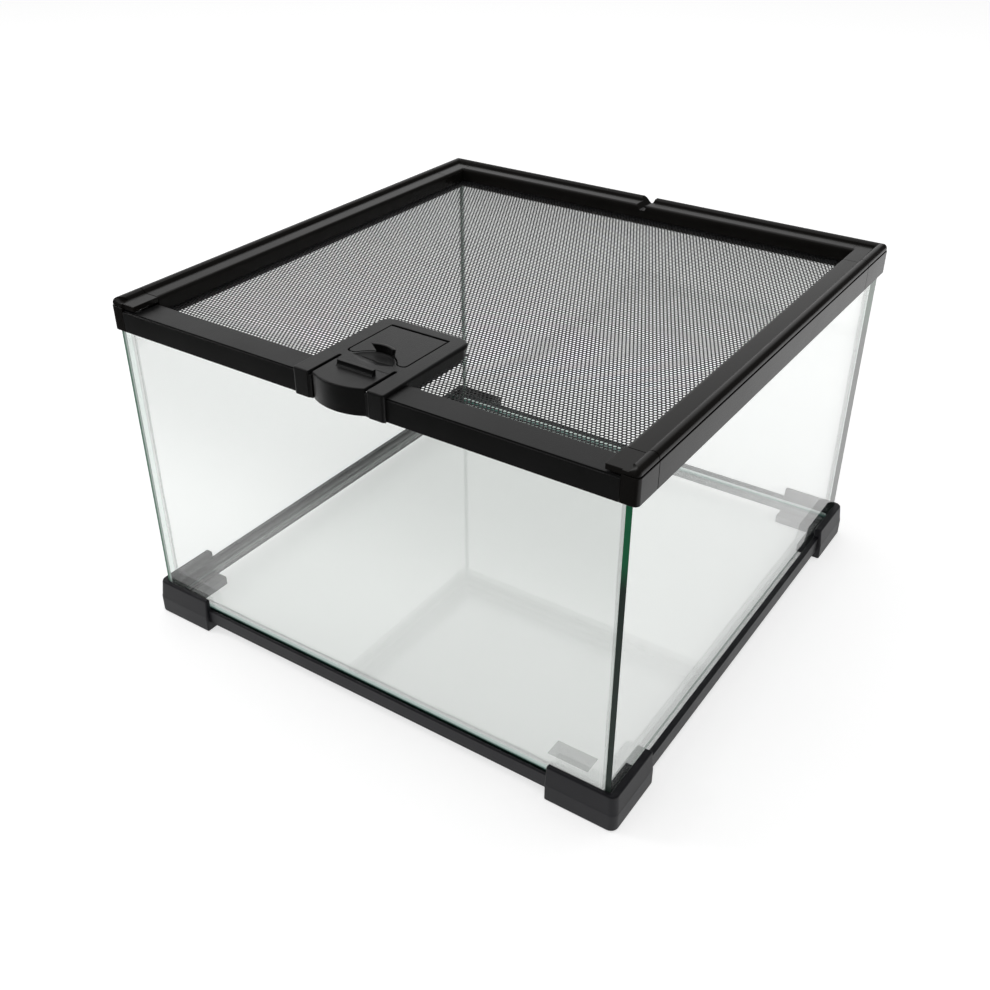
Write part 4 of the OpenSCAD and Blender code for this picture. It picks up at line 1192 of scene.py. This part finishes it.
# %% [markdown]
# The finger dish is the lens where two circles overlap. Sculpting could dent it
# in, but a formula keeps its two slopes and its rim clean. Its surface is a grid:
# one way across, from tip to tip, and the other way from the front rim to the
# back rim. The depth at a point comes from its distances to the two rims, the
# smaller of the two slopes counting, so a valley forms where they meet. Near
# the rim the depth starts as a parabola, which rounds the lip.

# %% Dish
def lens_curves(grow, count=40):
    """The front and the back rim of the lens, both from its left tip to its right tip."""
    back_r, front_r = DISH_BACK_R + grow, DISH_FRONT_R + grow
    gap = dish_front_y - dish_y
    rise = (gap**2 + back_r**2 - front_r**2) / (2 * gap)
    x = math.sqrt(back_r**2 - rise**2) * np.sin(np.linspace(-np.pi / 2, np.pi / 2, count + 1))
    front_rim = np.stack([x, dish_front_y - np.sqrt(front_r**2 - x**2)], 1)
    back_rim = np.stack([x, dish_y + np.sqrt(back_r**2 - x**2)], 1)
    return front_rim, back_rim


def lens_loop(grow, count=40):
    """The lens as one closed loop."""
    front_rim, back_rim = lens_curves(grow, count)
    return np.concatenate([front_rim, back_rim[-2:0:-1]])


FRONT_SLOPE, BACK_SLOPE = 0.30, 0.15
BACK_STEP, STEP_WIDTH = 1.0, 1.0
LIP = 0.35
CREASE_DEPTH, CREASE_WIDTH = 0.45, 0.10
CREASE_MID, CREASE_REACH, CREASE_FADE = -3, 3, 2
DISH_ROWS = 71


def dish_surface():
    """The dish as a grid of rows from the front rim to the back rim.

    The back slope starts with a step, which falls off as an exponential. A thin crease follows the valley.
    """
    front_rim, back_rim = lens_curves(0)
    share = np.linspace(0, 1, DISH_ROWS)[:, None, None]
    flat = front_rim * (1 - share) + back_rim * share
    inside = DISH_BACK_R - np.hypot(flat[..., 0], flat[..., 1] - dish_y)
    from_back = BACK_STEP * (1 - np.exp(-inside / STEP_WIDTH)) + BACK_SLOPE * inside
    from_front = FRONT_SLOPE * (DISH_FRONT_R - np.hypot(flat[..., 0], flat[..., 1] - dish_front_y))
    h = np.maximum(np.minimum(from_back, from_front), 0)
    depth = np.where(h < LIP, h**2 / (2 * LIP), h - LIP / 2)
    off_crease = np.abs(flat[..., 0] - CREASE_MID)
    crease = np.exp(-(((from_back - from_front) / CREASE_WIDTH) ** 2))
    crease *= np.clip(CREASE_REACH - off_crease / CREASE_FADE, 0, 1)
    rows = np.concatenate([flat, (house_top - depth - CREASE_DEPTH * crease)[..., None]], 2)
    i = np.arange(rows.shape[0] * rows.shape[1]).reshape(rows.shape[:2])
    quads = np.stack([i[:-1, :-1], i[:-1, 1:], i[1:, 1:], i[1:, :-1]], -1).reshape(-1, 4)
    return rows.reshape(-1, 3), quads.tolist()

# %% Housing plate
SOFT_FRONT, SOFT_BACK, SOFT_SLOT = 0.8, 1.9, 0.3
HATCH_GAP = 0.6
RECESS_BACK, RECESS_R, RECESS_STEP = 1.6, 0.2, 0.06
CUP_GROW, CUP_DEPTH = 0.5, 3.9


def plate_outline():
    """The housing from above, with the lever's slot: counter-clockwise from its front left corner."""
    corners = [
        (-house_x, house_front), (-slot_x, house_front), (-slot_x, slit_end), (-lever_x, slit_end),
        (-lever_x, pivot_y), (lever_x, pivot_y), (lever_x, slit_end), (slot_x, slit_end),
        (slot_x, house_front), (house_x, house_front), (house_x, house_back), (-house_x, house_back),
    ]
    return rounded(corners, [1.5, 0.92, 0.8, 0.8, 0.5, 0.5, 0.8, 0.8, 0.92, 1.5, 8, 8], 8)


def plate_rows():
    """The plate's side: straight up, then a quarter round whose radius grows from front to back.

    The slot's back edge stays clear of the lever's barrel: it follows a circle round the pivot.
    """
    outline = plate_outline()
    x, y = np.abs(outline.T[0]), outline.T[1]
    backwards = np.clip((y - house_front) / (house_back - house_front), 0, 1)
    soft = SOFT_FRONT + (SOFT_BACK - SOFT_FRONT) * backwards
    outside = np.clip((x - slot_x) / 0.9, 0, 1)
    soft = np.where(y < slit_end + 0.1, SOFT_SLOT + (soft - SOFT_SLOT) * outside, soft)
    up = np.array([0, 0.3, 0.6, 0.85])[:, None] * (house_top - soft - under) + under
    a = np.linspace(0, np.pi / 2, 7)[:, None]
    z = np.concatenate([up, house_top - soft * (1 - np.sin(a))])
    inset = np.concatenate([np.zeros_like(up), soft * (1 - np.cos(a))])
    flat = outline + inwards(outline) * inset[..., None]
    behind_barrel = (x < lever_x + 0.01) & (y < pivot_y + 0.6)
    flat[..., 1] += behind_barrel * np.sqrt(BARREL_ROOM**2 - (z - pivot_z) ** 2)
    return np.concatenate([flat, z[..., None]], 2)


def housing_plate():
    """The plate as one closed surface: side, top and underside, the hatch's recess, the dish and its cup."""
    rows = plate_rows()
    recess = hatch_outline(HATCH_GAP, hinge_y + RECESS_BACK + HATCH_GAP)
    edge = recess - inwards(recess) * RECESS_R
    cup = lens_loop(CUP_GROW)
    drop = np.concatenate([
        np.column_stack([edge, np.full(len(edge), house_top)])[None],
        layers(recess - inwards(recess) * RECESS_STEP, [(house_top - RECESS_STEP, 0)]),
        layers(recess, [(house_top - RECESS_R, 0), (under, 0)]),
    ])
    return joined(
        shell(rows, False, False),
        cap(rows[-1][:, :2], [edge, lens_loop(0)], house_top),
        shell(drop, False, False),
        dish_surface(),
        cap(rows[0][:, :2], [recess, cup], under, False),
        shell(layers(cup, [(house_top - CUP_DEPTH, 0), (under, 0)]), True, False),
    )

# %% [markdown]
# Below the plate stand walls round three sides, a ledge and pads for the hatch
# to rest on, bosses for its hinge, lugs for the latch's pin, posts for the
# screws, and a cheek on each side of the lever with a dark backing in the slit.
# They are seen only through gaps, so plain blocks will do. The right ones are
# drawn, and the left ones are their mirror images.

# %% Housing walls, ledge and cheeks
WALL, WALL_IN, WALL_CORNER = 2.0, 1.4, 6.6
INNER_CORNER = WALL_CORNER - WALL
HARD = 0.05
POST_R = 2.4
wall_x, wall_back = house_x - WALL_IN, house_back - WALL_IN
inner_x, inner_back = wall_x - WALL, wall_back - WALL
sheet_top = sheet_high[2]
ledge_low, ledge_top = under - 1.6, under - 0.1
walls_loop = rounded([
    (wall_x, bar_back), (wall_x, wall_back), (-wall_x, wall_back), (-wall_x, bar_back),
    (-inner_x, bar_back), (-inner_x, inner_back), (inner_x, inner_back), (inner_x, bar_back),
], [HARD, WALL_CORNER, WALL_CORNER, HARD, HARD, INNER_CORNER, INNER_CORNER, HARD], 8)
walls = bar(walls_loop, sheet_top, under, 0.02, 0.02, 1)
cheek_loop = [(slot_x, house_front), (house_x, house_front), (house_x, front), (slot_x, front)]
cheek = bar(rounded(cheek_loop, [0.92, 1.5, HARD, HARD], 8), cheek_bottom, under, 0.6, 0.01)
slit_low = (lever_x + 0.15, house_front + 0.5, cheek_bottom + 0.3)
backing = block(slit_low, (slot_x + 0.1, front + 2.2, under + 0.1), HARD, 1)
lug = block((slot_x, pivot_y - 3, sheet_top + 1.4), (slot_x + 2.8, pivot_y + 3, under), 0.1, 1)
boss = block((HATCH_X + HATCH_GAP, hinge_y - 2.2, ledge_low), (HATCH_X + 3.2, hinge_y + 2.2, under), 0.1, 1)
ledge_loop = rectangle((-inner_x - 0.1, hatch_front + 6.4), (inner_x + 0.1, hinge_y - 2.2))
ledge = pierced_plate(ledge_loop, [rectangle(port_low, port_high, 0.6, 3)], ledge_low, ledge_top)
pad_x, pad_low, pad_high = HATCH_X + 0.5, hatch_front - 1.4, hatch_front + 6.3
pad_arc = arc((0, dish_y), DISH_BACK_R + 0.8, 28, 52, 6)
pad_loop = rounded([*pad_arc, (8.3, pad_high), (pad_x, pad_high), (pad_x, pad_low)], 0.01, 1)
pad = bar(pad_loop, ledge_low, ledge_top, 0.01, 0.01, 1)
post_places = [(wall_x - 3.9, hatch_front), (wall_x - 7.3, hinge_y + 5.3)]
post_loops = [circle((s * x, y), POST_R, 24) for x, y in post_places for s in (-1, 1)]
posts = [bar(loop, sheet_top, under, HARD, HARD, 1) for loop in post_loops]
sides = [solid for one in (cheek, lug, boss, backing, pad) for solid in (one, mirrored(one))]
housing = [housing_plate(), walls, ledge, *sides, *posts]
moulding("latch_housing", "lid", housing, satin_lid, weld=True)

# %% [markdown]
# ## The latch lever
#
# The lever is a tongue with a bowed front. Seen from above, the tongue is one
# outline: an arc in front, straight sides and a straight back. Below it hang
# the fascia, a curved plate, and the tooth, and it ends in a barrel round the
# pin. A rib across its top is there for the finger. A bent cube would miss the
# soft bow, so each part has its own outline, and they overlap a little.

# %% Lever
lever_low, lever_high = span("latch_lever")
bow = 4.0
bow_r = (lever_x**2 + bow**2) / (2 * bow)
bow_y = lever_low[1] + bow_r
bow_half = math.degrees(math.asin(lever_x / bow_r))
tongue_under = house_top - 1.8
FASCIA_THICK = 1.8
TONGUE_BACK, SOFT_BOW, SOFT_SIDE = 0.51, 0.45, 0.35
BOW_FADE = 1.5
GRIP_HALF, GRIP_R = 10.5, [0.5, 0.25, 0.1, 0.1]
TOOTH_HALF, TOOTH_THICK, TOOTH_BACK = 4, 2.2, 8.2


def bowed_outline(back):
    """The tongue from above: an arc in front with softened ends, straight sides and a straight back."""
    front_arc = arc((0, bow_y), bow_r, 270 - bow_half + 2, 270 + bow_half - 2, 24)
    end = np.array([lever_x, bow_y - math.sqrt(bow_r**2 - lever_x**2)])
    swing = bend(front_arc[-1], end, end + [0, 1.0], 5)
    rear = arc((lever_x - 0.3, back - 0.3), 0.3, 0, 90, 3)
    right = np.concatenate([swing[1:], rear])
    return np.concatenate([front_arc, right, (right * [-1, 1])[::-1]])


def tongue():
    """The tongue, whose top edge is softer along the bow than at its sides."""
    outline = bowed_outline(pivot_y + TONGUE_BACK)
    bowed = np.clip((front + BOW_FADE - outline[:, 1]) / BOW_FADE, 0, 1)
    soft = SOFT_SIDE + SOFT_BOW * bowed
    a = np.linspace(0, np.pi / 2, 6)[:, None]
    z = np.concatenate([np.full((1, len(outline)), tongue_under), house_top - soft * (1 - np.sin(a))])
    inset = np.concatenate([np.zeros((1, len(outline))), soft * (1 - np.cos(a))])
    return shell(np.concatenate([outline + inwards(outline) * inset[..., None], z[..., None]], 2))


def fascia():
    """The bowed plate that hangs in front of the bar, hollow behind."""
    edge = bowed_outline(front + 0.5)
    edge = edge[edge[:, 1] < front + 0.15]
    edge = edge[edge[:, 0].argsort()]
    inner = arc((0, bow_y), bow_r - FASCIA_THICK, 270 + bow_half - 5.2, 270 - bow_half + 5.2, 20)
    end_y, inner_end = front + 0.45, lever_x - FASCIA_THICK
    right_end = [[lever_x, end_y], [inner_end, end_y]]
    left_end = [[-inner_end, end_y], [-lever_x, end_y]]
    loop = np.concatenate([edge, right_end, inner, left_end])
    low = cheek_bottom
    return shell(layers(loop, [(low, 0.45), (low + 0.13, 0.13), (low + 0.45, 0), (tongue_under, 0)]))


barrel = along_x(circle((0, 0), BARREL_R, 48), lever_x - 0.05, pivot_y, pivot_z)
barrel[0][:, 2] = np.minimum(barrel[0][:, 2], house_top - 0.08)
grip_top = lever_high[2] - house_top
sweep = bend(np.array([-1.0, grip_top - 0.5]), np.array([-1.0, 0.15]), np.array([-2.5, 0.02]), 8)
grip_back = rounded([(1.0, grip_top), (-1.0, grip_top), (-1.0, 0), (1.0, 0)], GRIP_R, 4)[:10]
grip_loop = np.concatenate([grip_back, sweep, [[-2.5, -0.4], [1.0, -0.4]]])
grip = along_x(grip_loop, GRIP_HALF, pivot_y - 3.8, house_top)
tooth_y, tooth_low = pivot_y - TOOTH_BACK, span("latch_strike")[1][2] + 0.3
tooth_high = (TOOTH_HALF, tooth_y, tongue_under + 0.2)
tooth = block((-TOOTH_HALF, tooth_y - TOOTH_THICK, tooth_low), tooth_high, 0.15, 2)
lever = [tongue(), fascia(), barrel, grip, tooth]
moulding("latch_lever", "latch", lever, satin_lid, weld=True)

# %% [markdown]
# ## The feeding hatch
#
# The hatch is a plate with a hinge barrel behind and a finger tab in front. The
# tab is a thin blade that follows the hollow edge and leans over the dish. It
# could be extruded upwards, but its face isn't upright. So its section, drawn
# in distance from the dish's centre and height, is swept round that centre, and
# shrinks towards its middle at both ends.

# %% Hatch
TAB_SECTION = [
    (15.5, -0.3), (15.35, 1.0), (15.2, 2.4), (15.1, 3.5), (14.6, 3.85), (13.9, 3.95),
    (13.2, 3.85), (13.0, 3.6), (13.35, 3.3), (13.6, 2.2), (13.7, 1.0), (13.75, -0.3),
]
TAB_TOP, TAB_HALF, TAB_FLARE = 3.95, 30.0, 9.0
TAB_R, TAPER_START, TAPER_RUN = 14.2, 0.88, 0.125
HINGE_R = 1.6


def smooth_loop(points, times=2):
    """A closed outline with its corners cut at a quarter and three quarters of each side, again and again."""
    for _ in range(times):
        after = np.roll(points, -1, 0)
        points = np.stack([0.75 * points + 0.25 * after, 0.25 * points + 0.75 * after], 1).reshape(-1, 2)
    return points


def tab():
    """The finger tab: its section swept about the dish's centre, further round the higher a point lies."""
    section = smooth_loop(np.array(TAB_SECTION))
    section[:, 1] = np.maximum(section[:, 1], -0.5)
    share = np.linspace(-1, 1, 25)[:, None]
    reach = np.radians(TAB_HALF - TAB_FLARE * (1 - section[:, 1] / TAB_TOP))
    swept = share * reach
    slim = np.sqrt(np.clip(1 - (np.abs(share) - TAPER_START).clip(0) / TAPER_RUN, 0, 1))
    r = TAB_R + (section[:, 0] - TAB_R) * slim
    x = r * np.sin(swept)
    y = dish_y + r * np.cos(swept)
    z = np.broadcast_to(house_top + section[:, 1], x.shape)
    return shell(np.stack([x, y, z], 2)[::-1])


hatch_plate = bar(hatch_outline(0, hinge_y + 0.1), under, house_top, 0.15, 0.3)
hatch_barrel = along_x(circle((0, 0), HINGE_R, 32), HATCH_X, hinge_y, hinge_z)
hatch = [hatch_plate, hatch_barrel, tab()]
moulding("feed_hatch", "hatch", hatch, satin_lid, weld=True)

# %% [markdown]
# ## The blank label
#
# A small paper label sits under the floor pane near the front right corner. It
# could be painted on by a mask in the glass shader, but a thin block is also
# there in a mesh file. It is left blank.

# %% Label
LABEL_LOW, LABEL_HIGH = (105, -134.5), (128, -124)
LABEL_GAP, LABEL_THICK = 0.01, 0.09
label_top = glass_low[2] - LABEL_GAP
label = block((*LABEL_LOW, label_top - LABEL_THICK), (*LABEL_HIGH, label_top), 0.04, 1)
piece("floor_label", "tank", [], [label], [label_paper])
